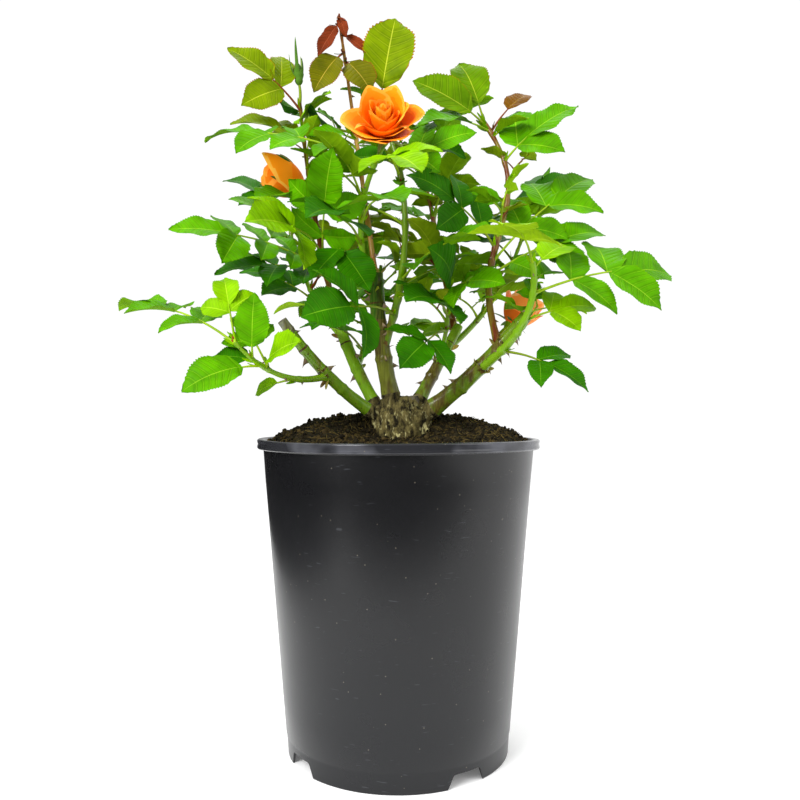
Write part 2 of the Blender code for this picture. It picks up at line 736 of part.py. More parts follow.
def plan_crown(canes, trunk, compost, tools):
    """Where every leaf goes: the aimed ones of all the shoots first, then the rule's."""
    space = Space()
    for piece in [trunk, compost, *canes.values()]:
        space.take(piece.name, *limb_shell(piece.data))
    paths = {name: shoot_path(shoot) for name, shoot in SHOOTS.items()}
    for name, shoot in SHOOTS.items():
        stem = stem_tube(name, shoot, paths[name], tools)
        space.take(name, *limb_shell(stem.data))
        bpy.data.objects.remove(stem)
    for flower in BLOOMS.values():
        way = Vector(flower["way"]).normalized()
        middle = Vector(flower["base"]) + way * flower["deep"] * 0.5
        space.take("flower", *ball(middle, way, flower["radius"] + 1, flower["deep"] * 0.62))
    plan = {}
    for name, shoot in SHOOTS.items():
        chance = random.Random(f"{SEED} {name}")
        plan[name] = []
        for row in shoot["leaves"]:
            base = along(paths[name], row["at"])[0]
            made = try_leaf(space, name, base, row, chance)
            if made:
                plan[name].append(made)
    for name, shoot in SHOOTS.items():
        chance = random.Random(f"{SEED} {name} fill")
        for row in rule_leaves(shoot, paths[name], chance):
            base = along(paths[name], row["at"])[0]
            made = try_leaf(space, name, base, row, chance)
            if made:
                plan[name].append(made)
    return paths, plan


# ---------------------------------------------------------------- flowers

def ball(middle, way, radius, half_length, rings=6, segments=9, point=0):
    """A ball stretched along a way and drawn to a point at its far end: its points and faces."""
    across = square_to(Vector((0.2, 0.9, 0.1)), way)
    third = way.cross(across)
    points = [middle - way * half_length]
    for i in range(1, rings):
        tilt = math.pi * i / rings
        wide = radius * math.sin(tilt) * (1 - point * i / rings)
        for k in range(segments):
            turn = 2 * math.pi * k / segments
            rim = (across * math.cos(turn) + third * math.sin(turn)) * wide
            points.append(middle - way * half_length * math.cos(tilt) + rim)
    points.append(middle + way * half_length)
    last = len(points) - 1
    faces = []
    for k in range(segments):
        following = (k + 1) % segments
        faces.append((0, 1 + following, 1 + k))
        for i in range(rings - 2):
            low = 1 + i * segments
            high = low + segments
            faces.append((low + k, low + following, high + following, high + k))
        faces.append((last - segments + k, last - segments + following, last))
    return points, faces


def petal(base, way, inner, length):
    """A broad cupped petal."""
    side = way.cross(inner)
    half = length * PETAL_WIDE / 2
    left = [(t, -across) for t, across in PETAL_OUTLINE]
    rim = []
    for t, across in [*left, (1, 0), *reversed(PETAL_OUTLINE)]:
        cup = PETAL_CUP * half * across ** 2 - PETAL_CURL * length * t ** 2
        rim.append(base + way * t * length + side * across * half + inner * cup)
    return lens(rim, base + way * 0.6 * length, inner, PETAL_THICK)


def flower_core(flower):
    """The closed petals at a flower's middle, as one shape."""
    way = Vector(flower["way"]).normalized()
    middle = Vector(flower["base"]) + way * flower["deep"] * 0.52
    radius = flower["radius"] * flower["core"]
    return ball(middle, way, radius, flower["deep"] * 0.47, 7, 10, flower["point"])


def add_flower(flower, path, tools):
    """A flower in solids: stalk, hip, a core of closed petals, and the outer petals that stand off it."""
    base = Vector(flower["base"])
    way = Vector(flower["way"]).normalized()
    start, stem_way = along(path, flower["at"])
    if (base - start).length > HIP_RADIUS:
        middle = start.lerp(base, 0.5) + (stem_way - UP) * STALK_LIFT
        tube("stalk", [start, middle, base + way], FLOWER_STALK, 6, tools)
    hip = ball(base + way * STALK_LIFT, way, HIP_RADIUS, HIP_DEEP, 5, 8)
    mesh_object("hip", mesh_from("hip", *hip), tools)
    mesh_object("core", mesh_from("core", *flower_core(flower)), tools)
    across = square_to(Vector((1, 0.2, 0.3)), way)
    third = way.cross(across)
    length = math.hypot(flower["radius"], flower["deep"] * 0.55) * 0.95
    for k in range(flower["petals"]):
        turn = 2 * math.pi * k / flower["petals"] + math.radians(flower["turn"])
        out = across * math.cos(turn) + third * math.sin(turn)
        lean = math.radians(flower["spread"]) * (1 if k % 2 else 0.8)
        up = way * math.cos(lean) + out * math.sin(lean)
        inner = square_to(way - out * 0.6, up)
        mesh_object("petal", mesh_from("petal", *petal(base + way * HIP_RADIUS, up, inner, length)), tools)


def add_green_bud(tip, tools):
    """The closed bud at a shoot's tip, with its long sepal."""
    grow = Vector(GREEN_BUD["way"]).normalized()
    deep = GREEN_BUD["deep"]
    hip = ball(tip + grow * deep * 0.35, grow, GREEN_BUD["radius"], deep * 0.55, 6, 8)
    mesh_object("bud", mesh_from("bud", *hip), tools)
    top = tip + grow * deep * 0.7
    end = top + grow * GREEN_BUD["sepal"]
    tube("sepal", [top, top.lerp(end, 0.3), end], GREEN_BUD["sepal_radius"], 4, tools)


# ---------------------------------------------------------------- foliage

def stem_tube(name, shoot, path, group):
    first, last = shoot["radius"]
    radii = tapered(first, last, len(path))
    radii[0] *= 1.3
    return tube(name, path, radii, SHOOT_SIDES, group)


def make_foliage(name, shoot, path, leaves, parts, tools):
    stem = stem_tube(name, shoot, path, parts)
    for stalk, blades in leaves:
        radii = tapered(STALK_RADIUS * 1.25, STALK_RADIUS * 0.85, len(stalk))
        tube("leaf_stalk", stalk, radii, 4, tools)
        for base, way, normal, length in blades:
            points, faces = blade(base, way, normal, length)
            mesh_object("leaflet", mesh_from("leaflet", points, faces), tools)
    for flower in BLOOMS.values():
        if flower["shoot"] == name:
            add_flower(flower, path, tools)
    if GREEN_BUD["shoot"] == name:
        add_green_bud(path[-1], tools)
    apply_boolean(stem, "UNION", tools)
    cane_tube("clear_of_cane", CANES[shoot["cane"]], GAP, tools)
    apply_boolean(stem, "DIFFERENCE", tools)
    return stem


def main():
    clear_scene()
    parts = new_collection("rose_bush")
    cutters = new_collection("cutters")
    tools = new_collection("tools")
    trunk = trunk_body("trunk", 0, parts)
    compost = make_compost(parts, tools)
    canes = make_canes(parts, tools)
    paths, plan = plan_crown(canes, trunk, compost, tools)
    foliage = []
    for name, shoot in SHOOTS.items():
        foliage.append(make_foliage(name, shoot, paths[name], plan[name], parts, tools))
    bpy.data.collections.remove(tools)
    pot = make_pot(parts, cutters)
    groups = {"pot_plastic": [pot], "compost": [compost], "bark": [trunk], "cane_rind": canes.values(),
              "leaf_green": foliage}
    for finish, pieces in groups.items():
        material = finish_material(finish, *FINISHES[finish])
        for piece in pieces:
            piece.data.materials.append(material)
    for piece in parts.objects:
        triangles = sum(len(face.vertices) - 2 for face in piece.data.polygons)
        print(f"{piece.name}: {triangles} triangles")


if __name__ == "__main__":
    main()
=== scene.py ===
import math
import random

import bmesh
import bpy
import numpy as np
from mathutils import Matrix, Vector, noise
from mathutils.bvhtree import BVHTree


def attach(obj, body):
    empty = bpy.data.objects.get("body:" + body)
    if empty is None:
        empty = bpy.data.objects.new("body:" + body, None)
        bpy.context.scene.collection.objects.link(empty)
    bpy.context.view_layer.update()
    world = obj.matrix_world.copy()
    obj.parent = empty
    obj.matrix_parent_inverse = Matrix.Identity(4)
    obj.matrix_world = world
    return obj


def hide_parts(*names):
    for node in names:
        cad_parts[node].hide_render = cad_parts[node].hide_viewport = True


# Potted rose bush: lengths are millimetres and angles degrees, and mm turns them to metres.
mm = 0.001
up = Vector((0, 0, 1))
front = Vector((0, -1, 0))

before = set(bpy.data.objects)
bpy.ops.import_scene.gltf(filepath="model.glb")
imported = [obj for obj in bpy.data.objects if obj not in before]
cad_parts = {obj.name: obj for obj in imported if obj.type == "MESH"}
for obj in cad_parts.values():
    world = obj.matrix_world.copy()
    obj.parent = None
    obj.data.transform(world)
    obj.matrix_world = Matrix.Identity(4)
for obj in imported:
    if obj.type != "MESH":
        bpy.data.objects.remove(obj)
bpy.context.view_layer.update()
scene = bpy.context.scene


def toLinear(hexColour):
    parts = [int(hexColour[i:i + 2], 16) / 255 for i in (1, 3, 5)]
    return tuple(c / 12.92 if c <= 0.04045 else ((c + 0.055) / 1.055) ** 2.4 for c in parts) + (1.0,)


def addNode(tree, kind, settings=None, inputs=None):
    node = tree.nodes.new(kind)
    for key, value in (settings or {}).items():
        setattr(node, key, value)
    for key, value in (inputs or {}).items():
        if isinstance(value, bpy.types.NodeSocket):
            tree.links.new(value, node.inputs[key])
        else:
            node.inputs[key].default_value = value
    return node


def startMaterial(name, roughness, specular=0.5):
    material = bpy.data.materials.new(name)
    material.use_nodes = True
    tree = material.node_tree
    shader = tree.nodes["Principled BSDF"]
    shader.inputs["Roughness"].default_value = roughness
    shader.inputs["Specular IOR Level"].default_value = specular
    return material, tree, shader


colourMix = {"data_type": "RGBA"}        # set on a mix node, it blends its inputs 6 and 7 as colours


def perMm(spacing):
    return 1 / (spacing * mm)          # a pattern's scale from the size of one repeat


def squareTo(vector, axis):
    return (vector - axis * vector.dot(axis)).normalized()


def spoke(side, way, turn):
    return side * math.cos(turn) + way.cross(side) * math.sin(turn)        # the side, turned round the way


def ringQuads(rings, sides):
    # the faces of a tube of closed rings
    return [(i * sides + k, i * sides + (k + 1) % sides, (i + 1) * sides + (k + 1) % sides, (i + 1) * sides + k)
            for i in range(rings - 1) for k in range(sides)]


def sheetQuads(rows, columns):
    # the faces of an open sheet, row by row
    i, j = np.meshgrid(np.arange(rows - 1), np.arange(columns - 1), indexing="ij")
    near = (i * columns + j).ravel()
    return np.stack([near, near + 1, near + 1 + columns, near + columns], 1)


class Heap:
    # what is gathered here becomes one joined piece

    def __init__(self, name):
        self.name = name
        self.points, self.faces, self.finishes = [], [], []
        self.total = 0

    def add(self, points, faces, finish):
        points = np.asarray(points, float).reshape(-1, 3)
        faces = np.asarray(faces, int)
        self.points.append(points)
        self.faces.append(faces + self.total)
        self.finishes.append([finish] * len(faces) if isinstance(finish, str) else list(finish))
        self.total += len(points)

    def build(self, materials):
        mesh = bpy.data.meshes.new(self.name)
        points = np.concatenate(self.points) * mm
        loops = np.concatenate([f.ravel() for f in self.faces])
        sizes = np.concatenate([np.full(len(f), f.shape[1]) for f in self.faces])
        names = [name for group in self.finishes for name in group]
        used = sorted(set(names))
        mesh.vertices.add(len(points))
        mesh.vertices.foreach_set("co", points.ravel())
        mesh.loops.add(len(loops))
        mesh.loops.foreach_set("vertex_index", loops)
        mesh.polygons.add(len(sizes))
        mesh.polygons.foreach_set("loop_start", np.concatenate([[0], np.cumsum(sizes)[:-1]]))
        mesh.polygons.foreach_set("material_index", [used.index(name) for name in names])
        mesh.update(calc_edges=True)
        mesh.validate()
        mesh.shade_smooth()
        for name in used:
            mesh.materials.append(materials[name])
        piece = bpy.data.objects.new(self.name, mesh)
        scene.collection.objects.link(piece)
        return piece

    def shell(self):
        # its points and faces as plain lists, for a test of what room it has
        return ([Vector(point) for point in np.concatenate(self.points)],
                [tuple(int(i) for i in face) for group in self.faces for face in group])


def tubeInto(heap, path, radii, sides, finish, endFinish=None, ridges=None):
    # a round limb along the path; ridges(i, k) scales the radius of ring i at side k
    path = [Vector(p) for p in path]
    ways = [(path[min(i + 1, len(path) - 1)] - path[max(i - 1, 0)]).normalized() for i in range(len(path))]
    side = ways[0].orthogonal().normalized()
    rings = []
    for i, (place, way) in enumerate(zip(path, ways)):
        side = squareTo(side, way)
        for k in range(sides):
            radius = radii[i] * (ridges(i, k) if ridges else 1)
            rings.append(place + spoke(side, way, 2 * math.pi * k / sides) * radius)
    plain = isinstance(finish, str)
    finishes = finish if plain else [finish[i] for i in range(len(path) - 1) for k in range(sides)]
    heap.add(rings, ringQuads(len(path), sides), finishes)
    for end in (0, len(path) - 1):
        rim = rings[end * sides:(end + 1) * sides]
        cap = [(k, (k + 1) % sides, sides) if end else ((k + 1) % sides, k, sides) for k in range(sides)]
        heap.add(rim + [path[end]], cap, endFinish or (finish if plain else finish[-1]))


def dress(piece, slot, *nodes):
    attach(piece, "root")
    if nodes:
        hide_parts(*nodes)
    print("made", piece.name, len(piece.data.polygons), "faces")
    return piece


# A pale table top in an even white surround, with a broad lamp to the left. Only for reflections, the
# surround is dark in front and to the left, as an unlit room is, and bright above, behind and to the right.
studio = {
    "eye": (1.2, -545.0, 225.0), "tilt": 0.82, "lens": 36.0, "sensor": 36.0,
    "surround": 1.04, "soft": 0.84,              # how white the surround is, and the share of it that lights things
    "bright": (((0.75, 0.66, 0), 0.25, 0.9, 1.0), ((0, 0, 1), 0.3, 0.85, 0.8)),      # toward, from, to, most
    "dark": 0.02,
    "table": (-0.42, 3.0, -0.42, 3.0), "tableColour": "#fafafa", "tableGlow": 0.12,  # metres; the glow keeps it white
    "lamps": {"key": ((-0.9, -1.0, 1.3), 16.0, 0.6), "fill": ((1.1, -0.6, 0.9), 5.0, 0.9),   # metres, watts, width
              "crown": ((0.1, 0.8, 1.6), 8.0, 0.9), "matt": ((-0.9, -1.4, 1.0), 20.0, 0.7)},
    "unseen": ("matt",), "aim": (0, 0, 0.25),    # lamps left out of reflections, and what all of them face
}


def surroundWorld():
    # even white light, and a partly dark room for reflections
    world = bpy.data.worlds.new("surround")
    world.use_nodes = True
    tree = world.node_tree
    way = addNode(tree, "ShaderNodeTexCoord").outputs["Generated"]
    spread = []
    for toward, start, full, most in studio["bright"]:
        facing = addNode(tree, "ShaderNodeVectorMath", {"operation": "DOT_PRODUCT"}, {0: way, 1: toward})
        spread.append(addNode(tree, "ShaderNodeMapRange", {"interpolation_type": "SMOOTHSTEP"},
                              {0: facing.outputs["Value"], 1: start, 2: full, 4: most}).outputs[0])
    room = spread[0]
    for other in spread[1:]:
        room = addNode(tree, "ShaderNodeMath", {"operation": "MAXIMUM"}, {0: room, 1: other}).outputs[0]
    room = addNode(tree, "ShaderNodeMath", {"operation": "MAXIMUM"}, {0: room, 1: studio["dark"]}).outputs[0]
    ray = addNode(tree, "ShaderNodeLightPath").outputs
    soft = addNode(tree, "ShaderNodeMix", {"data_type": "FLOAT"},
                   {0: ray["Is Diffuse Ray"], 2: 1.0, 3: studio["soft"]}).outputs[0]
    level = addNode(tree, "ShaderNodeMix", {"data_type": "FLOAT"},
                    {0: ray["Is Glossy Ray"], 2: soft, 3: room}).outputs[0]
    strength = addNode(tree, "ShaderNodeMath", {"operation": "MULTIPLY"}, {0: level, 1: studio["surround"]})
    sky = tree.nodes["Background"]
    sky.inputs[0].default_value = (1, 1, 1, 1)
    tree.links.new(strength.outputs[0], sky.inputs[1])
    return world


def setUpStudio():
    lens = bpy.data.cameras.new("view")
    lens.lens, lens.sensor_width = studio["lens"], studio["sensor"]
    lens.clip_start, lens.clip_end = 0.01, 30
    camera = bpy.data.objects.new("view", lens)
    camera.location = Vector(studio["eye"]) * mm
    camera.rotation_euler = (math.radians(90 + studio["tilt"]), 0, 0)
    scene.collection.objects.link(camera)
    scene.camera = camera
    scene.view_settings.view_transform = "Standard"
    scene.world = surroundWorld()
    for name, (place, power, size) in studio["lamps"].items():
        lamp = bpy.data.lights.new(name, "AREA")
        lamp.energy, lamp.size = power, size
        holder = bpy.data.objects.new(name, lamp)
        holder.location = place
        holder.visible_glossy = name not in studio["unseen"]
        holder.rotation_euler = (Vector(studio["aim"]) - holder.location).to_track_quat("-Z", "Y").to_euler()
        scene.collection.objects.link(holder)
    left, right, near, far = studio["table"]
    sheet = bpy.data.meshes.new("table_top")
    sheet.from_pydata([(left, near, 0), (right, near, 0), (right, far, 0), (left, far, 0)], [], [(0, 1, 2, 3)])
    table = bpy.data.objects.new("table_top", sheet)
    scene.collection.objects.link(table)
    material, tree, shader = startMaterial("white_laminate", 0.8, 0.0)
    shader.inputs["Base Color"].default_value = toLinear(studio["tableColour"])
    shader.inputs["Emission Color"].default_value = (1, 1, 1, 1)
    shader.inputs["Emission Strength"].default_value = studio["tableGlow"]
    sheet.materials.append(material)


setUpStudio()
print("studio ready")

# Nursery pot: injection-moulded polypropylene, carbon black. Satin rather than glossy, with a bloom of dust
# towards its foot, fine specks of grit and a few hair scratches from handling.
pot = {
    "tall": 207.0, "lipRadius": 95.0, "lipTall": 6.4, "neckRadius": 90.8, "footRadius": 73.8, "wall": 1.5,
    "rimRound": 1.8, "lipRound": 1.3, "collarRound": 1.2, "footRound": 0.6, "footStep": 0.35, "floorRaised": 9.5,
    "notches": 4, "notchTurn": 34.5, "notchWide": 28.0, "notchTall": 8.8, "notchSlope": 4.0, "notchDeep": 5.0,
    "notchRound": 1.6, "segments": 192, "lipWave": 0.35, "wallWave": 0.25, "sag": 0.25, "sharp": 38,
    "black": "#0e0e10", "dust": "#101114", "rubbedAndSheen": "#56575d", "scratch": "#3c3e42", "grit": "#6d675c",
}


def blackPolypropylene():
    material, tree, shader = startMaterial("black_polypropylene", 0.36, 0.42)
    shader.inputs["IOR"].default_value = 1.49
    place = addNode(tree, "ShaderNodeTexCoord").outputs["Object"]
    parts = addNode(tree, "ShaderNodeSeparateXYZ", inputs={0: place})
    low = addNode(tree, "ShaderNodeMapRange", inputs={0: parts.outputs[2], 1: 0.19, 2: 0.05}).outputs[0]
    cloud = addNode(tree, "ShaderNodeTexNoise", inputs={"Vector": place, "Scale": perMm(42), "Detail": 3.0})
    drift = addNode(tree, "ShaderNodeMath", {"operation": "MULTIPLY_ADD", "use_clamp": True},
                    {0: cloud.outputs[0], 1: 0.5, 2: -0.25})
    dusty = addNode(tree, "ShaderNodeMath", {"operation": "ADD", "use_clamp": True},
                    {0: low, 1: drift.outputs[0]}).outputs[0]
    wall = addNode(tree, "ShaderNodeMix", colourMix,
                   {0: dusty, 6: toLinear(pot["black"]), 7: toLinear(pot["dust"])}).outputs[2]
    # The lip is lighter in patches: partly rubbing from handling, partly a painted reflection of the studio.
    lip = addNode(tree, "ShaderNodeMapRange", inputs={0: parts.outputs[2], 1: 0.2, 2: 0.2012}).outputs[0]
    sheenAndRubPatches = addNode(tree, "ShaderNodeMapRange",
                    inputs={0: cloud.outputs[0], 1: 0.44, 2: 0.58, 3: 0.15, 4: 0.85}).outputs[0]
    lipSheenAndRub = addNode(tree, "ShaderNodeMath", {"operation": "MULTIPLY"}, {0: lip, 1: sheenAndRubPatches}).outputs[0]
    body = addNode(tree, "ShaderNodeMix", colourMix, {0: lipSheenAndRub, 6: wall, 7: toLinear(pot["rubbedAndSheen"])}).outputs[2]
    specks = addNode(tree, "ShaderNodeTexVoronoi", inputs={"Vector": place, "Scale": perMm(7), "Randomness": 1.0})
    speck = addNode(tree, "ShaderNodeMapRange", inputs={0: specks.outputs[0], 1: 0.06, 2: 0.04, 4: 0.7}).outputs[0]
    stretched = addNode(tree, "ShaderNodeMapping", inputs={"Vector": place, "Scale": (0.16, 0.16, 1.0),
                                                           "Rotation": (0.3, 0.5, 0.0)}).outputs[0]
    hairs = addNode(tree, "ShaderNodeTexNoise", inputs={"Vector": stretched, "Scale": perMm(1.4), "Detail": 1.0})
    hair = addNode(tree, "ShaderNodeMapRange", inputs={0: hairs.outputs[0], 1: 0.72, 2: 0.78, 4: 0.5}).outputs[0]
    marked = addNode(tree, "ShaderNodeMix", colourMix, {0: hair, 6: body, 7: toLinear(pot["scratch"])}).outputs[2]
    gritty = addNode(tree, "ShaderNodeMix", colourMix, {0: speck, 6: marked, 7: toLinear(pot["grit"])}).outputs[2]
    tree.links.new(gritty, shader.inputs["Base Color"])
    gloss = addNode(tree, "ShaderNodeMapRange", inputs={0: cloud.outputs[0], 3: 0.22, 4: 0.36}).outputs[0]
    polished = addNode(tree, "ShaderNodeMapRange", inputs={0: lip, 3: 1.0, 4: 0.5}).outputs[0]
    sheen = addNode(tree, "ShaderNodeMath", {"operation": "MULTIPLY"}, {0: gloss, 1: polished}).outputs[0]
    tree.links.new(sheen, shader.inputs["Roughness"])
    flow = addNode(tree, "ShaderNodeTexNoise", inputs={"Vector": place, "Scale": perMm(1.1), "Detail": 2.0})
    bump = addNode(tree, "ShaderNodeBump", inputs={"Strength": 0.12, "Distance": 0.2 * mm,
                                                   "Height": flow.outputs[0]})
    tree.links.new(bump.outputs[0], shader.inputs["Normal"])
    return material


def wallRadius(height):
    # the tapered wall's outside
    rise = pot["tall"] - pot["lipTall"]
    return pot["footRadius"] + (pot["neckRadius"] - pot["footRadius"]) * height / rise


def arcPoints(middle, radius, start, end, count):
    turns = [math.radians(start + (end - start) * i / (count - 1)) for i in range(count)]
    return [(middle[0] + radius * math.cos(turn), middle[1] + radius * math.sin(turn)) for turn in turns]


def makePot():
    # a turned wall with its rolled lip, cut by the notches in the foot ring, then pulled a little out of round
    tall, lip, neck, foot, wall = pot["tall"], pot["lipRadius"], pot["neckRadius"], pot["footRadius"], pot["wall"]
    under = tall - pot["lipTall"]
    floorTop = pot["floorRaised"] + wall
    rim, bead, collar = pot["rimRound"], pot["lipRound"], pot["collarRound"]
    edge, step = pot["footRound"], pot["footStep"]
    section = [(0, floorTop), (wallRadius(floorTop) - wall - 2, floorTop)]
    section += [(wallRadius(floorTop + 2) - wall, floorTop + 2), (wallRadius(under) - wall, under)]
    section += arcPoints((neck + 1.6, tall - rim), rim, 165, 90, 5)            # over the rim
    section += arcPoints((lip - bead, tall - bead), bead, 90, 0, 5)
    section += [(lip - 0.5, under + 3.4)]
    section += arcPoints((lip - bead, under + bead), bead, 30, -90, 7)         # the bead along the lip's lower edge
    section += [(neck + 1.6, under + 0.5)]
    section += arcPoints((neck + collar, under - 0.7), collar, 90, 180, 4)
    section += [(wallRadius(z), z) for z in (180, 150, 120, 90, 60, 35, 14.5)]
    section += [(wallRadius(13.6) - step, 13.6), (wallRadius(12) - step, 12), (foot - 0.2, 0.9)]      # the foot ring
    section += arcPoints((foot - 0.8, edge), edge, 0, -90, 4)
    section += [(foot - wall, 0), (wallRadius(9) - wall - 0.8, 9), (0, pot["floorRaised"])]
    mesh = bpy.data.meshes.new("nursery_pot")
    mesh.from_pydata([(r * mm, 0, z * mm) for r, z in section], [(i, i + 1) for i in range(len(section) - 1)], [])
    piece = bpy.data.objects.new("nursery_pot", mesh)
    scene.collection.objects.link(piece)
    screw = piece.modifiers.new("turn", "SCREW")
    screw.steps = screw.render_steps = pot["segments"]
    screw.use_merge_vertices = True
    screw.merge_threshold = 0.00001
    screw.use_normal_calculate = True
    cutters = []
    for k in range(pot["notches"]):
        turn = math.radians(pot["notchTurn"] + k * 360 / pot["notches"])
        shape = bmesh.new()
        bmesh.ops.create_cube(shape, size=1)
        for corner in shape.verts:
            high = corner.co.z > 0
            half = pot["notchWide"] / 2 - (pot["notchSlope"] if high else 0)
            level = pot["notchTall"] if high else -1
            deep = math.copysign(pot["notchDeep"], corner.co.y)
            corner.co = Vector((math.copysign(half, corner.co.x), deep, level)) * mm
        edges = [edge for edge in shape.edges if all(corner.co.z > 0 for corner in edge.verts)
                 and abs(edge.verts[0].co.x - edge.verts[1].co.x) < mm]
        bmesh.ops.bevel(shape, geom=edges, offset=pot["notchRound"] * mm, segments=4, affect="EDGES", profile=0.5)
        cutter = bpy.data.meshes.new("notch")
        shape.to_mesh(cutter)
        shape.free()
        tool = bpy.data.objects.new("notch", cutter)
        scene.collection.objects.link(tool)
        tool.location = Vector((math.sin(turn), -math.cos(turn), 0)) * foot * mm
        tool.rotation_euler = (0, 0, turn)
        cut = piece.modifiers.new("notch", "BOOLEAN")
        cut.operation = "DIFFERENCE"
        cut.object = tool
        cutters.append(tool)
    made = bpy.data.meshes.new_from_object(piece.evaluated_get(bpy.context.evaluated_depsgraph_get()))
    piece.modifiers.clear()
    piece.data = made
    for tool in cutters:
        bpy.data.objects.remove(tool)
    for point in made.vertices:
        turn = math.atan2(point.co.y, point.co.x)
        high = min(1, max(0, (point.co.z / mm - under + 8) / 8))
        swell = pot["lipWave"] * high * math.sin(5 * turn + 1)
        swell += pot["wallWave"] * noise.noise(Vector((math.cos(turn) * 1.6, math.sin(turn) * 1.6, point.co.z * 9)))
        swell *= min(1, point.co.z / mm / 20)               # none at the foot, which stands flat
        outward = Vector((math.cos(turn), math.sin(turn), 0))
        if math.hypot(point.co.x, point.co.y) > 60 * mm:
            point.co += outward * swell * mm
            point.co.z -= pot["sag"] * mm * high * (1 + math.sin(3 * turn + 2))
    made.materials.clear()
    made.materials.append(blackPolypropylene())
    made.shade_smooth()
    made.set_sharp_from_angle(angle=math.radians(pot["sharp"]))
    dress(piece, "pot_plastic", "pot")


makePot()

# Peat compost: milled moss peat with coir and bark fines. Dull, nearly black where it is damp, with paler
# brown crumbs and tan fibres that catch the light.
def milledPeat(name, dark, pale, spacing):
    material, tree, shader = startMaterial(name, 0.95, 0.15)
    place = addNode(tree, "ShaderNodeTexCoord").outputs["Object"]
    grain = addNode(tree, "ShaderNodeTexNoise", inputs={"Vector": place, "Scale": perMm(spacing), "Detail": 6.0})
    share = addNode(tree, "ShaderNodeMapRange", inputs={0: grain.outputs[0], 1: 0.38, 2: 0.68}).outputs[0]
    peat = addNode(tree, "ShaderNodeMix", colourMix, {0: share, 6: toLinear(dark), 7: toLinear(pale)}).outputs[2]
    tree.links.new(peat, shader.inputs["Base Color"])
    bump = addNode(tree, "ShaderNodeBump", inputs={"Strength": 0.7, "Distance": 0.5 * mm,
                                                   "Height": grain.outputs[0]})
    tree.links.new(bump.outputs[0], shader.inputs["Normal"])
    return material


peatMaterials = {
    "peat": milledPeat("milled_peat", "#0f0d08", "#2c2616", 3),
    "crumbDark": milledPeat("peat_crumb_dark", "#14110a", "#2a2415", 2),
    "crumbBrown": milledPeat("peat_crumb_brown", "#2b2312", "#4a3d20", 2),
    "fibre": milledPeat("coir_fibre", "#3f3519", "#6f5f33", 4),
}
compost = {
    "edge": 203.0, "skirt": 9.0, "mound": 19.5,
    "hollowSpread": 46.0, "hollowBack": 8.0, "hollowDeep": 22.0, "hollowShare": 0.93,
    "rings": 76, "segments": 240, "lump": 2.6, "lumpSize": 9.0, "crumb": 1.3, "crumbSize": 3.2,
    "crumbs": 5200, "crumbRadius": (0.45, 1.9), "brownCrumbs": 0.36,
    "fibres": 1150, "fibreLength": (4, 15), "fibreRadius": 0.2, "fibreBend": 1.4, "paleFibres": 0.6,
}


def moundHeight(x, y):
    # the fill rises to the stock and is hollowed out in front of it
    out = math.hypot(x, y)
    rise = compost["mound"] * max(0, 1 - (out / (pot["neckRadius"] - pot["wall"])) ** 3)
    ahead = min(1, max(0, (compost["hollowBack"] - y) / compost["hollowDeep"]))
    hollow = compost["hollowShare"] * ahead * math.exp(-(x / compost["hollowSpread"]) ** 2)
    lumps = 0.8 * math.sin(0.21 * x + 1) * math.cos(0.17 * y) * min(1, rise / 6)
    return compost["edge"] + rise * (1 - hollow) + lumps


def peatHeight(x, y, rim):
    # the mound with its lumps and crumbs, calmer by the wall
    loose = min(1, max(0.25, (rim - math.hypot(x, y)) / 10))
    big = noise.noise(Vector((x, y, 3)) / compost["lumpSize"]) * compost["lump"]
    small = noise.fractal(Vector((x, y, 8)) / compost["crumbSize"], 0.9, 2.2, 3) * compost["crumb"]
    return moundHeight(x, y) + (big + small + 0.5) * loose


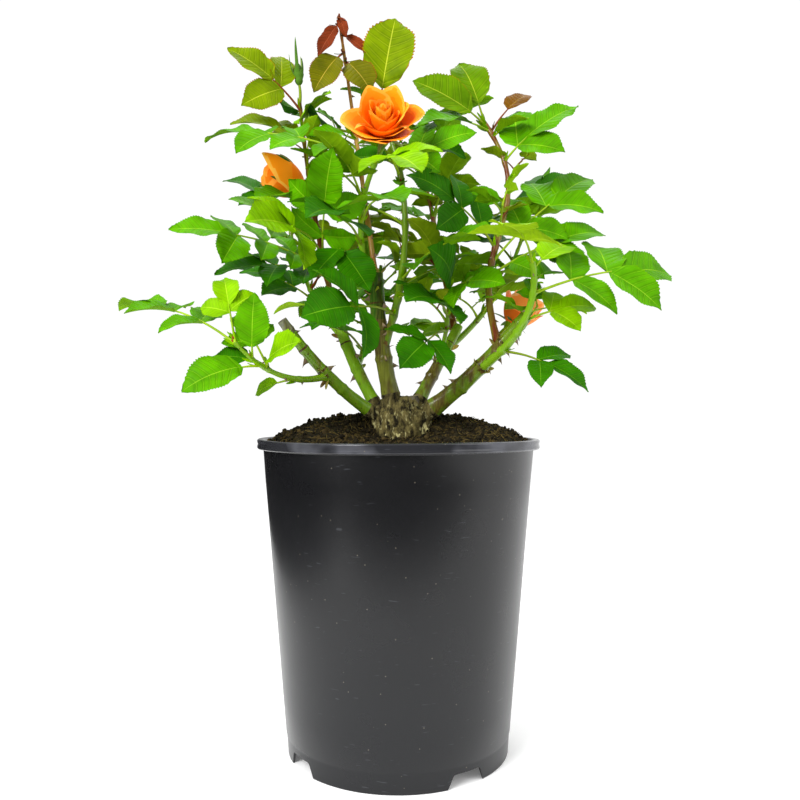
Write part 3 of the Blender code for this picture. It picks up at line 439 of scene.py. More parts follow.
def makeCompost():
    # the lumpy top, then loose crumbs and loose fibres on it
    chance = random.Random(5)
    top = Heap("compost_top")
    rim = wallRadius(compost["edge"] - 2) - pot["wall"] - 0.4
    rings, around = compost["rings"], compost["segments"]
    points = []
    for i in range(rings + 1):
        out = rim * i / rings
        for k in range(around):
            turn = 2 * math.pi * k / around
            x, y = out * math.cos(turn), out * math.sin(turn)
            points.append((x, y, peatHeight(x, y, rim)))
    points += [(x, y, compost["edge"] - compost["skirt"]) for x, y, z in points[-around:]]      # down inside the pot
    top.add(points, np.array(ringQuads(rings + 2, around))[:, [0, 3, 2, 1]], "peat")
    piece = top.build(peatMaterials)
    crumbs = Heap("compost_crumbs")
    ball = bmesh.new()
    bmesh.ops.create_icosphere(ball, subdivisions=1, radius=1)
    shape = np.array([v.co[:] for v in ball.verts])
    sides = np.array([[v.index for v in f.verts] for f in ball.faces])
    ball.free()
    dice = np.random.default_rng(7)
    for k in range(compost["crumbs"]):
        out = (rim - 1) * math.sqrt(chance.random())
        turn = chance.uniform(0, 2 * math.pi)
        x, y = out * math.cos(turn), out * math.sin(turn)
        least, most = compost["crumbRadius"]
        radius = least + (most - least) * chance.random() ** 2.5
        z = peatHeight(x, y, rim) + radius * 0.35
        lumpy = shape * dice.uniform(0.6, 1.25, (len(shape), 1)) * dice.uniform(0.6, 1.2, (1, 3))
        finish = "crumbBrown" if chance.random() < compost["brownCrumbs"] else "crumbDark"
        crumbs.add(lumpy * radius + (x, y, z), sides, finish)
    fibres = Heap("compost_fibres")
    for k in range(compost["fibres"]):
        out = (rim - 3) * math.sqrt(chance.random())
        turn = chance.uniform(0, 2 * math.pi)
        x, y = out * math.cos(turn), out * math.sin(turn)
        length = chance.uniform(*compost["fibreLength"])
        heading = chance.uniform(0, 2 * math.pi)
        bend = chance.uniform(-compost["fibreBend"], compost["fibreBend"])
        rise = chance.uniform(-0.5, 0.8)
        line = []
        for i in range(5):
            t = i / 4
            alongX = x + length * t * math.cos(heading + bend * t)
            alongY = y + length * t * math.sin(heading + bend * t)
            if math.hypot(alongX, alongY) > rim - 1:
                break
            line.append(Vector((alongX, alongY, peatHeight(alongX, alongY, rim) + 0.3 + rise * t * (1 - t) * 4)))
        if len(line) > 2:
            tubeInto(fibres, line, [compost["fibreRadius"]] * len(line), 3,
                     "fibre" if chance.random() < compost["paleFibres"] else "crumbBrown")
    dress(piece, "compost", "compost")
    dress(crumbs.build(peatMaterials), "compost", "compost")
    dress(fibres.build(peatMaterials), "compost", "compost")


makeCompost()

# Rose wood: old budded stock is corky and grey-brown, rough with ridges and knobs, and takes no shine.
def corkyBark(name, dark, mid, pale):
    material, tree, shader = startMaterial(name, 0.9, 0.2)
    place = addNode(tree, "ShaderNodeTexCoord").outputs["Object"]
    tall = addNode(tree, "ShaderNodeMapping", inputs={"Vector": place, "Scale": (1.0, 1.0, 0.36)}).outputs[0]
    ridges = addNode(tree, "ShaderNodeTexNoise", inputs={"Vector": tall, "Scale": perMm(3), "Detail": 8.0,
                                                         "Roughness": 0.65})
    share = addNode(tree, "ShaderNodeMapRange", inputs={0: ridges.outputs[0], 1: 0.4, 2: 0.6}).outputs[0]
    wood = addNode(tree, "ShaderNodeMix", colourMix, {0: share, 6: toLinear(dark), 7: toLinear(mid)}).outputs[2]
    flakes = addNode(tree, "ShaderNodeTexNoise", inputs={"Vector": tall, "Scale": perMm(2.2), "Detail": 5.0})
    flake = addNode(tree, "ShaderNodeMapRange", inputs={0: flakes.outputs[0], 1: 0.56, 2: 0.66, 4: 0.75}).outputs[0]
    height = addNode(tree, "ShaderNodeSeparateXYZ", inputs={0: place}).outputs[2]
    low = addNode(tree, "ShaderNodeMapRange", inputs={0: height, 1: 0.234, 2: 0.218, 3: 0.18}).outputs[0]
    grown = addNode(tree, "ShaderNodeMath", {"operation": "MULTIPLY"}, {0: flake, 1: low}).outputs[0]
    flaked = addNode(tree, "ShaderNodeMix", colourMix, {0: grown, 6: wood, 7: toLinear(pale)}).outputs[2]
    tree.links.new(flaked, shader.inputs["Base Color"])
    bump = addNode(tree, "ShaderNodeBump", inputs={"Strength": 0.8, "Distance": 0.6 * mm,
                                                   "Height": ridges.outputs[0]})
    tree.links.new(bump.outputs[0], shader.inputs["Normal"])
    return material


# Rose rind: the thin green skin of a young cane, smooth and faintly waxy, that weathers to olive and brown in
# patches and streaks, with small corky pores.
def waxyRind(name, green, brown, weathered):
    material, tree, shader = startMaterial(name, 0.26, 0.42)
    place = addNode(tree, "ShaderNodeTexCoord").outputs["Object"]
    tall = addNode(tree, "ShaderNodeMapping", inputs={"Vector": place, "Scale": (1.0, 1.0, 0.3)}).outputs[0]
    patches = addNode(tree, "ShaderNodeTexNoise", inputs={"Vector": tall, "Scale": perMm(9), "Detail": 5.0})
    share = addNode(tree, "ShaderNodeMapRange", inputs={0: patches.outputs[0], 1: 0.66 - 0.4 * weathered,
                                                        2: 0.78 - 0.4 * weathered}).outputs[0]
    fine = addNode(tree, "ShaderNodeMapping", inputs={"Vector": place, "Scale": (1.0, 1.0, 0.08)}).outputs[0]
    streaks = addNode(tree, "ShaderNodeTexNoise", inputs={"Vector": fine, "Scale": perMm(1.2), "Detail": 2.0})
    lift = addNode(tree, "ShaderNodeMapRange", inputs={0: streaks.outputs[0], 1: 0.4, 2: 0.75, 4: 0.22}).outputs[0]
    skin = addNode(tree, "ShaderNodeMix", colourMix, {0: share, 6: toLinear(green), 7: toLinear(brown)}).outputs[2]
    lined = addNode(tree, "ShaderNodeMix", colourMix, {0: lift, 6: skin, 7: toLinear("#a4ac3c")}).outputs[2]
    pores = addNode(tree, "ShaderNodeTexVoronoi", inputs={"Vector": tall, "Scale": perMm(3.2)})
    pore = addNode(tree, "ShaderNodeMapRange", inputs={0: pores.outputs[0], 1: 0.14, 2: 0.09}).outputs[0]
    rind = addNode(tree, "ShaderNodeMix", colourMix, {0: pore, 6: lined, 7: toLinear("#4a3a1c")}).outputs[2]
    tree.links.new(rind, shader.inputs["Base Color"])
    bump = addNode(tree, "ShaderNodeBump", inputs={"Strength": 0.2, "Distance": 0.3 * mm,
                                                   "Height": patches.outputs[0]})
    tree.links.new(bump.outputs[0], shader.inputs["Normal"])
    return material


woodMaterials = {
    "bark": corkyBark("corky_bark", "#1c180d", "#6a6038", "#c6bd84"),
    "deadWood": corkyBark("dead_wood", "#3a352c", "#6a6352", "#8f8a78"),
    "cutWood": corkyBark("cut_wood", "#7d7550", "#b5a878", "#c9c19a"),
    "pith": corkyBark("pith", "#6d5c38", "#8e7a4c", "#a08c5c"),
    "prickle": waxyRind("prickle", "#75604c", "#8b7560", 0.5),
    "rindOlive": waxyRind("rind_olive", "#5c8210", "#55561a", 0.22),
    "rindGreen": waxyRind("rind_green", "#6e9c12", "#66741a", 0.2),
    "rindBrown": waxyRind("rind_brown", "#5e621e", "#4a3e1e", 0.5),
    "rindDark": waxyRind("rind_dark", "#35600f", "#2f3a12", 0.4),
    "rindMottled": waxyRind("rind_mottled", "#648616", "#56481f", 0.42),
    "rindDry": waxyRind("rind_dry", "#7d7d6a", "#57523c", 0.6),
    "rindScar": waxyRind("rind_scar", "#4a3218", "#2e2112", 0.5),
}
trunk = {
    "middle": Vector((3, 1, 214)), "radius": 18.0, "rise": 18.5, "crown": 20.5, "shoulder": 0.78, "flare": 4.0,
    "lobe": 3.0, "lobeSpread": 26.0, "knob": 0.9, "around": 140, "rows": 90,
    "relief": 2.3, "reliefSize": 9.0, "cork": 1.2, "corkSize": 2.4, "corkTall": 0.4,
    "stubFoot": (8, -2, 220), "stubTop": (9, -3, 235.5), "stubRadius": (8.0, 4.4), "stubBow": (0.6, 0, 0),
    "stubRings": 14, "stubSides": 26, "stubCracks": 0.14, "stubCollar": 0.12,
}
canes = {
    "cane_left": {"foot": (-20, -8, 226), "tip": (-74, -36, 283), "bow": (-1, 0, -4), "radius": (4.2, 3.2),
                  "low": "rindOlive", "high": "rindDry", "change": 0.86, "end": "deadWood", "prickles": 5},
    "cane_left_back": {"foot": (-17, 6, 232), "tip": (-48, 22, 308), "bow": (-3, 0, 0), "radius": (4.3, 3.7),
                       "low": "rindGreen", "high": "rindGreen", "change": 1, "end": "cutWood", "prickles": 5},
    "cane_centre": {"foot": (-5, -5, 236), "tip": (-15, -8, 318), "bow": (-2, 0, 0), "radius": (5.8, 4.8),
                    "low": "rindBrown", "high": "rindDark", "change": 0.6, "end": "deadWood", "prickles": 6},
    "cane_right_back": {"foot": (15, 6, 234), "tip": (43, 24, 286), "bow": (0, 0, 0), "radius": (4.6, 3.3),
                        "low": "rindMottled", "high": "rindGreen", "change": 0.55, "end": "cutWood", "prickles": 4},
    "cane_right": {"foot": (23, -5, 227), "tip": (84, -25, 288), "bow": (0, 0, -4), "radius": (6.0, 4.2),
                   "low": "rindMottled", "high": "rindMottled", "change": 1, "end": "cutWood", "prickles": 7},
}
cane = {"sunk": 9.0, "sunkRings": 4, "sides": 22, "rings": 64, "knots": (0.3, 0.52, 0.74, 0.92), "knot": 0.13,
        "knotLong": 0.018, "uneven": 0.06, "collar": 0.16, "collarRings": 8, "prickle": (4.2, 6.2)}
prickle = {"steps": 6, "sides": 8, "sunk": 0.5, "hook": 0.34, "tall": 0.44, "wide": 0.17}      # shares of its length


def trunkRadius(way, feet):
    turn = math.atan2(way.y, way.x)
    swell = sum(math.exp(-(math.degrees(way.angle(foot)) / trunk["lobeSpread"]) ** 2) for foot in feet)
    coarse = trunk["knob"] * math.sin(5 * turn + 2) * math.cos(4 * way.z)
    fine = trunk["knob"] * 0.7 * math.sin(9 * turn + 6 * way.z)
    return trunk["radius"] + trunk["lobe"] * min(1, swell) + coarse + fine


def makeTrunk():
    # a swollen knob with a lobe towards each cane, deep ridges, and a sawn stub on top
    feet = [(Vector(limb["foot"]) - trunk["middle"]).normalized() for limb in canes.values()]
    heap = Heap("trunk_bark")
    points = []
    around, rows = trunk["around"], trunk["rows"]
    for i in range(1, rows):
        rise = math.pi * i / rows
        for k in range(around):
            turn = 2 * math.pi * k / around
            way = Vector((math.sin(rise) * math.cos(turn), math.sin(rise) * math.sin(turn), math.cos(rise)))
            level, tall = (math.sin(rise) ** trunk["shoulder"], trunk["crown"]) if way.z > 0 else (1, trunk["rise"])
            wide = level * (trunkRadius(way, feet) + trunk["flare"] * max(0, -way.z) ** 1.5)
            spot = trunk["middle"] + Vector((math.cos(turn) * wide, math.sin(turn) * wide, way.z * tall))
            relief = noise.fractal(spot / trunk["reliefSize"], 0.8, 2.1, 4) * trunk["relief"]
            drawn = Vector((spot.x, spot.y, spot.z * trunk["corkTall"])) / trunk["corkSize"]
            relief += (0.5 - abs(noise.fractal(drawn, 0.8, 2.1, 4))) * trunk["cork"]     # corky ridges
            points.append(spot + way * (relief - 0.2))
    points += [trunk["middle"] + up * (trunk["crown"] - 0.3), trunk["middle"] - up * trunk["rise"]]
    heap.add(points, np.array(ringQuads(rows - 1, around))[:, [0, 3, 2, 1]], "bark")
    edge = (rows - 2) * around
    fan = [(k, (k + 1) % around, around) for k in range(around)]
    heap.add(points[:around] + [points[-2]], fan, "bark")
    heap.add(points[edge:edge + around] + [points[-1]], [(b, a, c) for a, b, c in fan], "bark")
    count = trunk["stubRings"]
    stub = bowed(Vector(trunk["stubFoot"]), Vector(trunk["stubTop"]), Vector(trunk["stubBow"]), count)

    def cracked(i, k):
        collar = trunk["stubCollar"] if i < 3 else 0
        return 1 + trunk["stubCracks"] * noise.noise(Vector((k * 0.9, i * 0.25, 4))) + collar

    tubeInto(heap, stub, tapered(*trunk["stubRadius"], count), trunk["stubSides"], "deadWood", "cutWood", cracked)
    dress(heap.build(woodMaterials), "bark", "trunk")


def bowed(start, end, bow, count, sway=(0, 0, 0)):
    # a line that bends aside by the bow at its middle, and to and fro by the sway
    points = []
    for i in range(count):
        t = i / (count - 1)
        aside = bow * 4 * t * (1 - t) + Vector(sway) * math.sin(2 * math.pi * t)
        points.append(start.lerp(end, t) + aside)
    return points


def tapered(first, last, count):
    return [first + (last - first) * i / (count - 1) for i in range(count)]


def along(points, fraction):
    # the point at that fraction of the line, and which way the line runs there
    place = fraction * (len(points) - 1)
    i = min(int(place), len(points) - 2)
    return points[i].lerp(points[i + 1], place - i), (points[i + 1] - points[i]).normalized()


def prickleInto(heap, foot, way, out, long, finish):
    # a flat hooked thorn that points back down the limb
    across = way.cross(out).normalized()
    rings = []
    steps, sides = prickle["steps"], prickle["sides"]
    for i in range(steps):
        t = i / (steps - 1)
        middle = foot + out * long * t - way * long * prickle["hook"] * t ** 2 - out * prickle["sunk"]
        tall = long * prickle["tall"] * (1 - t) ** 1.5 + 0.06
        wide = long * prickle["wide"] * (1 - t) ** 1.1 + 0.05
        for k in range(sides):
            turn = 2 * math.pi * k / sides
            rings.append(middle + way * math.cos(turn) * tall + across * math.sin(turn) * wide)
    heap.add(rings, ringQuads(steps, sides), finish)
    point = foot + out * (long - 0.4) - way * long * 0.36
    heap.add(rings[-sides:] + [point], [(k, (k + 1) % sides, sides) for k in range(sides)], finish)


def limbRadii(first, last, count, knots, swelling, long):
    # a taper that swells at each knot
    radii = []
    for i in range(count):
        t = i / (count - 1)
        swell = sum(math.exp(-((t - knot) / long) ** 2) for knot in knots)
        radii.append((first + (last - first) * t) * (1 + swelling * min(1.2, swell)))
    return radii


def makeCanes():
    # the pruned canes, each run into the trunk and sawn off at its end
    for name, limb in canes.items():
        chance = random.Random(name)
        foot = Vector(limb["foot"])
        route = bowed(foot, Vector(limb["tip"]), Vector(limb["bow"]), cane["rings"])
        deep, collar = cane["sunkRings"], cane["collarRings"]
        back = (route[1] - foot).normalized() * cane["sunk"]
        path = [foot - back * (1 - i / deep) for i in range(deep)] + route
        radii = [limb["radius"][0] * 1.04] * deep
        radii += limbRadii(*limb["radius"], len(route), cane["knots"], cane["knot"], cane["knotLong"])
        for i in range(collar):                    # the collar where it leaves the trunk
            radii[deep + i] *= 1 + cane["collar"] * (1 - i / collar) ** 2
        if limb["end"] == "cutWood":
            radii[-1] *= 0.95
        seed = chance.uniform(0, 50)

        def uneven(i, k):
            turn = 2 * math.pi * k / cane["sides"]
            place = Vector((math.cos(turn) * 1.3, math.sin(turn) * 1.3, i * 0.11 + seed))
            return 1 + cane["uneven"] * noise.fractal(place, 0.9, 2.0, 3)

        change = deep + limb["change"] * len(route)
        scars = {deep + round(knot * (len(route) - 1)) for knot in cane["knots"][1:3]}
        finishes = ["bark" if i <= deep else "rindScar" if i in scars else limb["low"] if i < change else limb["high"]
                    for i in range(len(path) - 1)]
        heap = Heap(name + "_rind")
        tubeInto(heap, path, radii, cane["sides"], finishes, limb["end"], uneven)
        for k in range(limb["prickles"]):
            at = 0.16 + 0.76 * (k + chance.uniform(0, 0.8)) / limb["prickles"]
            place, way = along(route, at)
            out = spoke(squareTo(Vector((0.3, 0.8, 0.1)), way), way, chance.uniform(0, 2 * math.pi))
            radius = limb["radius"][0] + (limb["radius"][1] - limb["radius"][0]) * at
            prickleInto(heap, place + out * radius * 0.95, way, out, chance.uniform(*cane["prickle"]), "prickle")
        dress(heap.build(woodMaterials), "cane_rind", name)


makeTrunk()
makeCanes()

# The shoots: the cane each grows from and the place on it, its tip, its bow, its two radii, and its leaves.
# A leaf is its place on the shoot, its tip, the count of leaflets, the end leaflet's length, how far its blades
# turn to the front, and its tint. The rule then sets "fill" more leaves, and "twigs" finer side twigs.
shoots = {
    "foliage_right_middle": {
        "cane": "cane_right_back", "at": 0.42, "tip": (34, -2, 312), "bow": (3, -1, 0), "radius": (1.9, 1.1),
        "rind": "rindGreen", "twigs": 1, "leaves": [
            (0.45, (2, -72, 252), 3, 30, 80, "deep"), (0.95, (21, -54, 326), 3, 40, 75, "deep"),
            (0.62, (6, -62, 294), 3, 34, 60, "deep"), (0.90, (68, -46, 304), 3, 30, 55, "mid"),
        ],
        "fill": 2, "reach": 62, "turn": 80,
    },
    "foliage_left_low": {
        "cane": "cane_left", "at": 0.46, "tip": (-99, -61, 267), "bow": (-1, -5, -10), "radius": (2.3, 1.1),
        "rind": "rindGreen", "twigs": 1, "leaves": [
            (0.97, (-182, -25, 294), 5, 36, 15, "mid"), (0.99, (-111, -45, 307), 5, 23, 40, "fresh"),
            (0.70, (-126, -80, 238), 1, 37, 50, "mid"), (0.76, (-117, -46, 259), 1, 34, 45, "deep"),
            (0.80, (-86, -68, 296), 3, 31, 75, "mid"), (0.66, (-57, -86, 266), 1, 30, 60, "fresh"),
            (0.30, (-93, -28, 236), 1, 17, 45, "fresh"),
        ],
        "fill": 0, "reach": 60, "turn": 0,
    },
    "foliage_left_top": {
        "cane": "cane_left_back", "at": 0.90, "tip": (-70, 20, 446), "bow": (-3, 4, 0), "radius": (2.2, 1.1),
        "rind": "rindWine", "twigs": 2, "leaves": [
            (0.95, (-119, 8, 478), 5, 36, 55, "olive"), (0.86, (-46, -12, 440), 3, 25, 45, "fresh"),
            (0.80, (-116, 4, 424), 5, 35, 40, "olive"), (0.46, (-92, -34, 361), 1, 42, 30, "mid"),
            (0.16, (-146, -38, 341), 7, 34, 45, "mid"), (0.24, (-88, -78, 338), 3, 38, 75, "fresh"),
            (0.14, (-123, -12, 318), 5, 34, 35, "deep"), (0.20, (-41, -54, 380), 5, 35, 80, "mid"),
            (0.38, (-18, -40, 309), 3, 36, 60, "deep"),
        ],
        "fill": 3, "to": 0.76, "reach": 72, "turn": 60,
    },
    "foliage_bloom": {
        "cane": "cane_centre", "at": 0.80, "tip": (-9, -29, 398), "bow": (-13, -1, 0), "radius": (2.1, 1.6),
        "rind": "rindGreen", "twigs": 1, "leaves": [
            (0.86, (-131, -14, 411), 7, 36, 35, "mid"), (0.88, (14, -90, 362), 3, 34, 45, "fresh"),
            (0.62, (-60, -62, 388), 5, 34, 50, "fresh"), (0.35, (-50, -102, 335), 3, 36, 55, "deep"),
            (0.50, (2, -108, 340), 3, 36, 45, "mid"),
        ],
        "fill": 1, "reach": 70, "turn": 200,
    },
    "foliage_red_tip": {
        "cane": "cane_centre", "at": 0.94, "tip": (-41, 3, 497), "bow": (0, 17, 0), "radius": (1.9, 0.9),
        "rind": "rindBlush", "twigs": 1, "leaves": [
            (0.98, (-55, -4, 467), 3, 26, 80, "wine"), (0.94, (-21, 0, 471), 1, 18, 60, "wine"),
            (1.00, (-37, -3, 480), 1, 15, 70, "wine"), (0.88, (-57, -8, 442), 3, 31, 75, "bronze"),
            (0.85, (-18, -10, 441), 3, 31, 75, "bronze"),
        ],
        "fill": 4, "to": 0.6, "reach": 66, "turn": 100,
    },
    "foliage_centre": {
        "cane": "cane_centre", "at": 0.37, "tip": (-14, 9, 436), "bow": (17, -14, 0), "radius": (2.8, 1.4),
        "rind": "rindOlive", "twigs": 2, "leaves": [
            (0.99, (-2, 12, 501), 3, 52, 82, "olive"), (0.27, (60, -52, 333), 5, 34, 50, "mid"),
            (0.14, (-53, -98, 279), 3, 37, 78, "deep"), (0.20, (13, -42, 304), 1, 20, 20, "fresh"),
            (0.82, (46, -8, 398), 5, 34, 45, "deep"),
        ],
        "fill": 4, "reach": 72, "turn": 20,
    },
    "foliage_right_top": {
        "cane": "cane_right", "at": 0.71, "tip": (59, 8, 427), "bow": (6, -4, 0), "sway": (-9, 0, 0),
        "radius": (2.5, 1.3), "rind": "rindWine", "twigs": 2, "leaves": [
            (0.99, (43, 20, 474), 3, 38, 65, "moss"), (0.97, (10, 3, 453), 1, 44, 65, "moss"),
            (0.95, (13, -16, 417), 3, 38, 30, "mid"), (0.92, (87, -16, 420), 1, 28, 15, "fresh"),
            (0.94, (94, 24, 453), 1, 26, 40, "dry"), (0.80, (122, -8, 432), 3, 38, 45, "mid"),
            (0.42, (6, -38, 377), 5, 33, 50, "deep"), (0.36, (138, 22, 391), 5, 40, 50, "mid"),
            (0.30, (141, -4, 347), 5, 38, 45, "mid"),
        ],
        "fill": 2, "reach": 70, "turn": 200,
    },
    "foliage_right_outer": {
        "cane": "cane_right", "at": 0.48, "tip": (84, -46, 319), "bow": (11, -11, -4), "radius": (3.0, 1.8),
        "rind": "rindGreen", "twigs": 1, "leaves": [
            (0.98, (57, -116, 326), 3, 35, 30, "lime"), (0.74, (184, -18, 315), 5, 42, 50, "mid"),
            (0.22, (118, -52, 238), 3, 29, 35, "deep"), (0.94, (112, -24, 334), 3, 30, 40, "fresh"),
        ],
        "fill": 1, "reach": 64, "turn": 330,
    },
    "foliage_back_left": {
        "cane": "cane_left_back", "at": 0.58, "tip": (-88, 80, 380), "bow": (-5, 10, -8), "radius": (2.4, 1.1),
        "rind": "rindGreen", "twigs": 4, "leaves": [], "fill": 7, "reach": 70, "turn": 30,
    },
    "foliage_back_middle": {
        "cane": "cane_left_back", "at": 0.30, "tip": (-14, 84, 340), "bow": (0, 10, -8), "radius": (2.3, 1.1),
        "rind": "rindGreen", "twigs": 4, "leaves": [], "fill": 7, "reach": 66, "turn": 250,
    },
    "foliage_back_top": {
        "cane": "cane_right_back", "at": 0.90, "tip": (16, 70, 424), "bow": (2, 14, 0), "radius": (2.3, 1.1),
        "rind": "rindWine", "twigs": 4, "leaves": [], "fill": 8, "reach": 72, "turn": 75,
    },
    "foliage_back_right": {
        "cane": "cane_right_back", "at": 0.66, "tip": (100, 74, 372), "bow": (6, 8, -8), "radius": (2.3, 1.1),
        "rind": "rindGreen", "twigs": 4, "leaves": [], "fill": 8, "reach": 70, "turn": 140,
    },
}
sprays = {               # smaller leaves that fill out the shoots between the main ones
    "foliage_centre": [(0.66, (0, -24, 374), 3, 27, 60, "mid"), (0.74, (-34, -2, 398), 3, 26, 50, "deep")],
    "foliage_right_top": [(0.62, (42, -8, 373), 3, 26, 60, "mid"), (0.56, (90, -12, 372), 3, 26, 45, "mid")],
    "foliage_right_outer": [(0.84, (104, -14, 317), 3, 27, 60, "mid"), (0.5, (128, -30, 292), 3, 26, 45, "fresh")],
    "foliage_red_tip": [(0.56, (-62, -4, 412), 3, 27, 45, "mid"), (0.42, (-66, -12, 378), 3, 27, 55, "mid")],
    "foliage_left_top": [(0.62, (-98, 22, 402), 3, 26, 40, "olive"), (0.06, (-84, -22, 312), 3, 26, 55, "mid")],
    "foliage_left_low": [(0.62, (-104, -30, 288), 3, 22, 50, "mid")],
}

rule = {
    "seed": 21, "turnPerLeaf": 144.0, "from": 0.22, "to": 0.97, "rise": 0.35, "clear": 0.6, "trials": 28,
    "nudge": 19.0, "nudgeTurn": 40.0, "halfWide": 184.0, "halfDeep": 121.0, "top": 502.0,
    "stalkRadius": 0.75, "stalkBow": 0.09, "sideAngle": 64.0, "sideSizes": (0.92, 0.8, 0.64), "firstPair": 0.26,
    "pairStep": 0.62, "stagger": 0.7, "endSunk": 1.6,
    "leaf": 33, "twigReach": (20, 32), "twigRadius": (0.9, 0.6), "twigLeaves": (0.45, 0.75, 1.0), "twigLeafReach": 27,
    "twigLeaf": 16,
}
bladeSolid = {"wide": 0.64, "thick": 0.9, "arch": 0.05, "fold": 0.28,
              "outline": ((-0.005, 0), (0.2, -0.88), (0.6, -0.84), (1, 0), (0.6, 0.84), (0.2, 0.88))}


def shootPath(shoot, count=8):
    # a shoot's line, from its place on the cane to its tip
    limb = canes[shoot["cane"]]
    route = bowed(Vector(limb["foot"]), Vector(limb["tip"]), Vector(limb["bow"]), 24)
    start = along(route, shoot["at"])[0]
    return bowed(start, Vector(shoot["tip"]), Vector(shoot["bow"]), count, shoot.get("sway", (0, 0, 0)))


def roughBlade(base, way, normal, length):
    # the leaflet's plain outline, only to test what room it has
    side = way.cross(normal)
    half = length * bladeSolid["wide"] / 2
    rim = []
    for t, across in (*bladeSolid["outline"], (0.45, 0)):
        lift = bladeSolid["arch"] * length * 4 * t * (1 - t) + bladeSolid["fold"] * abs(across) * half
        rim.append(base + way * t * length + side * across * half + normal * lift)
    middle = rim.pop()
    points = rim + [middle + normal * bladeSolid["thick"] / 2, middle - normal * bladeSolid["thick"] / 2]
    faces = []
    for i in range(len(rim)):
        following = (i + 1) % len(rim)
        faces += [(following, i, len(rim)), (i, following, len(rim) + 1)]
    return points, faces


def compoundLeaf(base, tip, leaflets, size, facing, chance):
    # the line of a leaf's stalk and, for each leaflet, its root, way, face and length
    chord = tip - base
    reach = chord.length
    normal = squareTo(facing, chord.normalized())
    lift = normal * rule["stalkBow"] * reach
    end = max(0.2, 1 - size / reach)
    bends = 2 if leaflets < 5 else 3
    stalk = [base + chord * end * i / bends + lift * 4 * (end * i / bends) * (1 - end * i / bends)
             for i in range(bends + 1)]
    start = stalk[-1]
    way = (tip - start).normalized()
    blades = [(start - way * rule["endSunk"], way, squareTo(normal, way), (tip - start).length + rule["endSunk"])]
    for pair in range((leaflets - 1) // 2):
        t = end - (rule["firstPair"] + rule["pairStep"] * pair) * size / reach
        if t < 0.16:
            break
        middle, forward = along(stalk, t / end)
        across = forward.cross(normal).normalized()
        for hand in (-1, 1):
            angle = math.radians(rule["sideAngle"] + chance.uniform(-7, 7))
            side = across * hand
            way = forward * math.cos(angle) + side * math.sin(angle) - normal * chance.uniform(0.0, 0.22)
            way.normalize()
            face = squareTo(normal + side * chance.uniform(-0.3, 0.25), way)
            root = middle + forward * rule["stagger"] * hand
            blades.append((root, way, face, size * rule["sideSizes"][pair] * chance.uniform(0.93, 1.05)))
    return stalk, blades


def stalkStrip(stalk):
    # a narrow strip along the stalk, only to test what room it has
    side = squareTo(Vector((0.3, 0.5, 1)), (stalk[-1] - stalk[0]).normalized()) * rule["stalkRadius"]
    points = [point + side * hand for point in stalk for hand in (-1, 1)]
    return points, [(2 * i, 2 * i + 1, 2 * i + 3, 2 * i + 2) for i in range(len(stalk) - 1)]


taken = []               # what is already placed, so that each new leaf keeps clear of it


def roomBox(points):
    low = [min(point[axis] for point in points) - rule["clear"] for axis in range(3)]
    high = [max(point[axis] for point in points) + rule["clear"] for axis in range(3)]
    return low, high


def takeRoom(owner, points, faces):
    taken.append((owner, *roomBox(points), BVHTree.FromPolygons(points, faces)))


def hasRoom(stem, points, faces):
    low, high = roomBox(points)
    tree = BVHTree.FromPolygons(points, faces)
    for owner, otherLow, otherHigh, other in taken:
        if owner == stem or not all(low[a] < otherHigh[a] and otherLow[a] < high[a] for a in range(3)):
            continue
        if tree.overlap(other) or any(other.find_nearest(point, rule["clear"])[0] is not None for point in points):
            return False
    return True


def inCrown(points):
    return all(abs(p.x) < rule["halfWide"] and abs(p.y) < rule["halfDeep"] and p.z < rule["top"] for p in points)


def tryLeaf(name, base, row, chance):
    # moves a leaf a little at a time until it fits, and drops any leaflet that still touches
    state = chance.getstate()
    nudges = random.Random(f"{rule['seed']} {name} {round(row['tip'].x)}")
    best = None
    for trial in range(rule["trials"]):
        loose = trial / rule["trials"]
        shift = Vector([nudges.uniform(-1, 1) for axis in range(3)]) * rule["nudge"] * loose
        chance.setstate(state)
        angle = math.radians(row["face"] + nudges.uniform(-1, 1) * rule["nudgeTurn"] * loose)
        facing = up * math.cos(angle) + row.get("outward", front) * math.sin(angle)
        stalk, blades = compoundLeaf(base, row["tip"] + shift, row["leaflets"], row["size"], facing, chance)
        if not hasRoom(name, *stalkStrip(stalk)):
            continue
        free = []
        for blade in blades:
            shell = roughBlade(*blade)
            if inCrown(shell[0]) and hasRoom(name, *shell):
                free.append(blade)
        if not free or free[0] is not blades[0]:
            continue
        if best is None or len(free) > len(best[1]):
            best = (stalk, free)
        if len(free) == len(blades):
            break
    if best is None:
        return None
    stalk, free = best
    takeRoom(name + "_leaf", *stalkStrip(stalk))
    for blade in free:
        takeRoom(name + "_leaf", *roughBlade(*blade))
    return {"at": row.get("at", 1), "stalk": stalk, "blades": free, "tint": row["tint"]}


def ruleLeaves(shoot, path, chance):
    # leaves in a spiral up the shoot
    rows = []
    for k in range(shoot["fill"]):
        last = shoot.get("to", rule["to"])
        at = rule["from"] + (last - rule["from"]) * (k + chance.uniform(-0.2, 0.2)) / max(1, shoot["fill"] - 1)
        at = min(max(at, rule["from"]), 1)
        base, way = along(path, at)
        turn = math.radians(shoot["turn"] + rule["turnPerLeaf"] * k + chance.uniform(-14, 14))
        out = Vector((math.cos(turn), math.sin(turn), 0))
        reach = shoot["reach"] * chance.uniform(0.85, 1.12)
        climb = up * (rule["rise"] * (at + 0.2) + chance.uniform(-0.15, 0.15))
        tip = base + (out + climb + way * 0.25).normalized() * reach
        leaflets = chance.choice((5, 5, 5, 7, 3))
        rows.append({"at": at, "tip": tip, "leaflets": leaflets, "size": rule["leaf"] * chance.uniform(0.88, 1.12),
                     "face": chance.uniform(15, 58), "outward": out})
    return rows


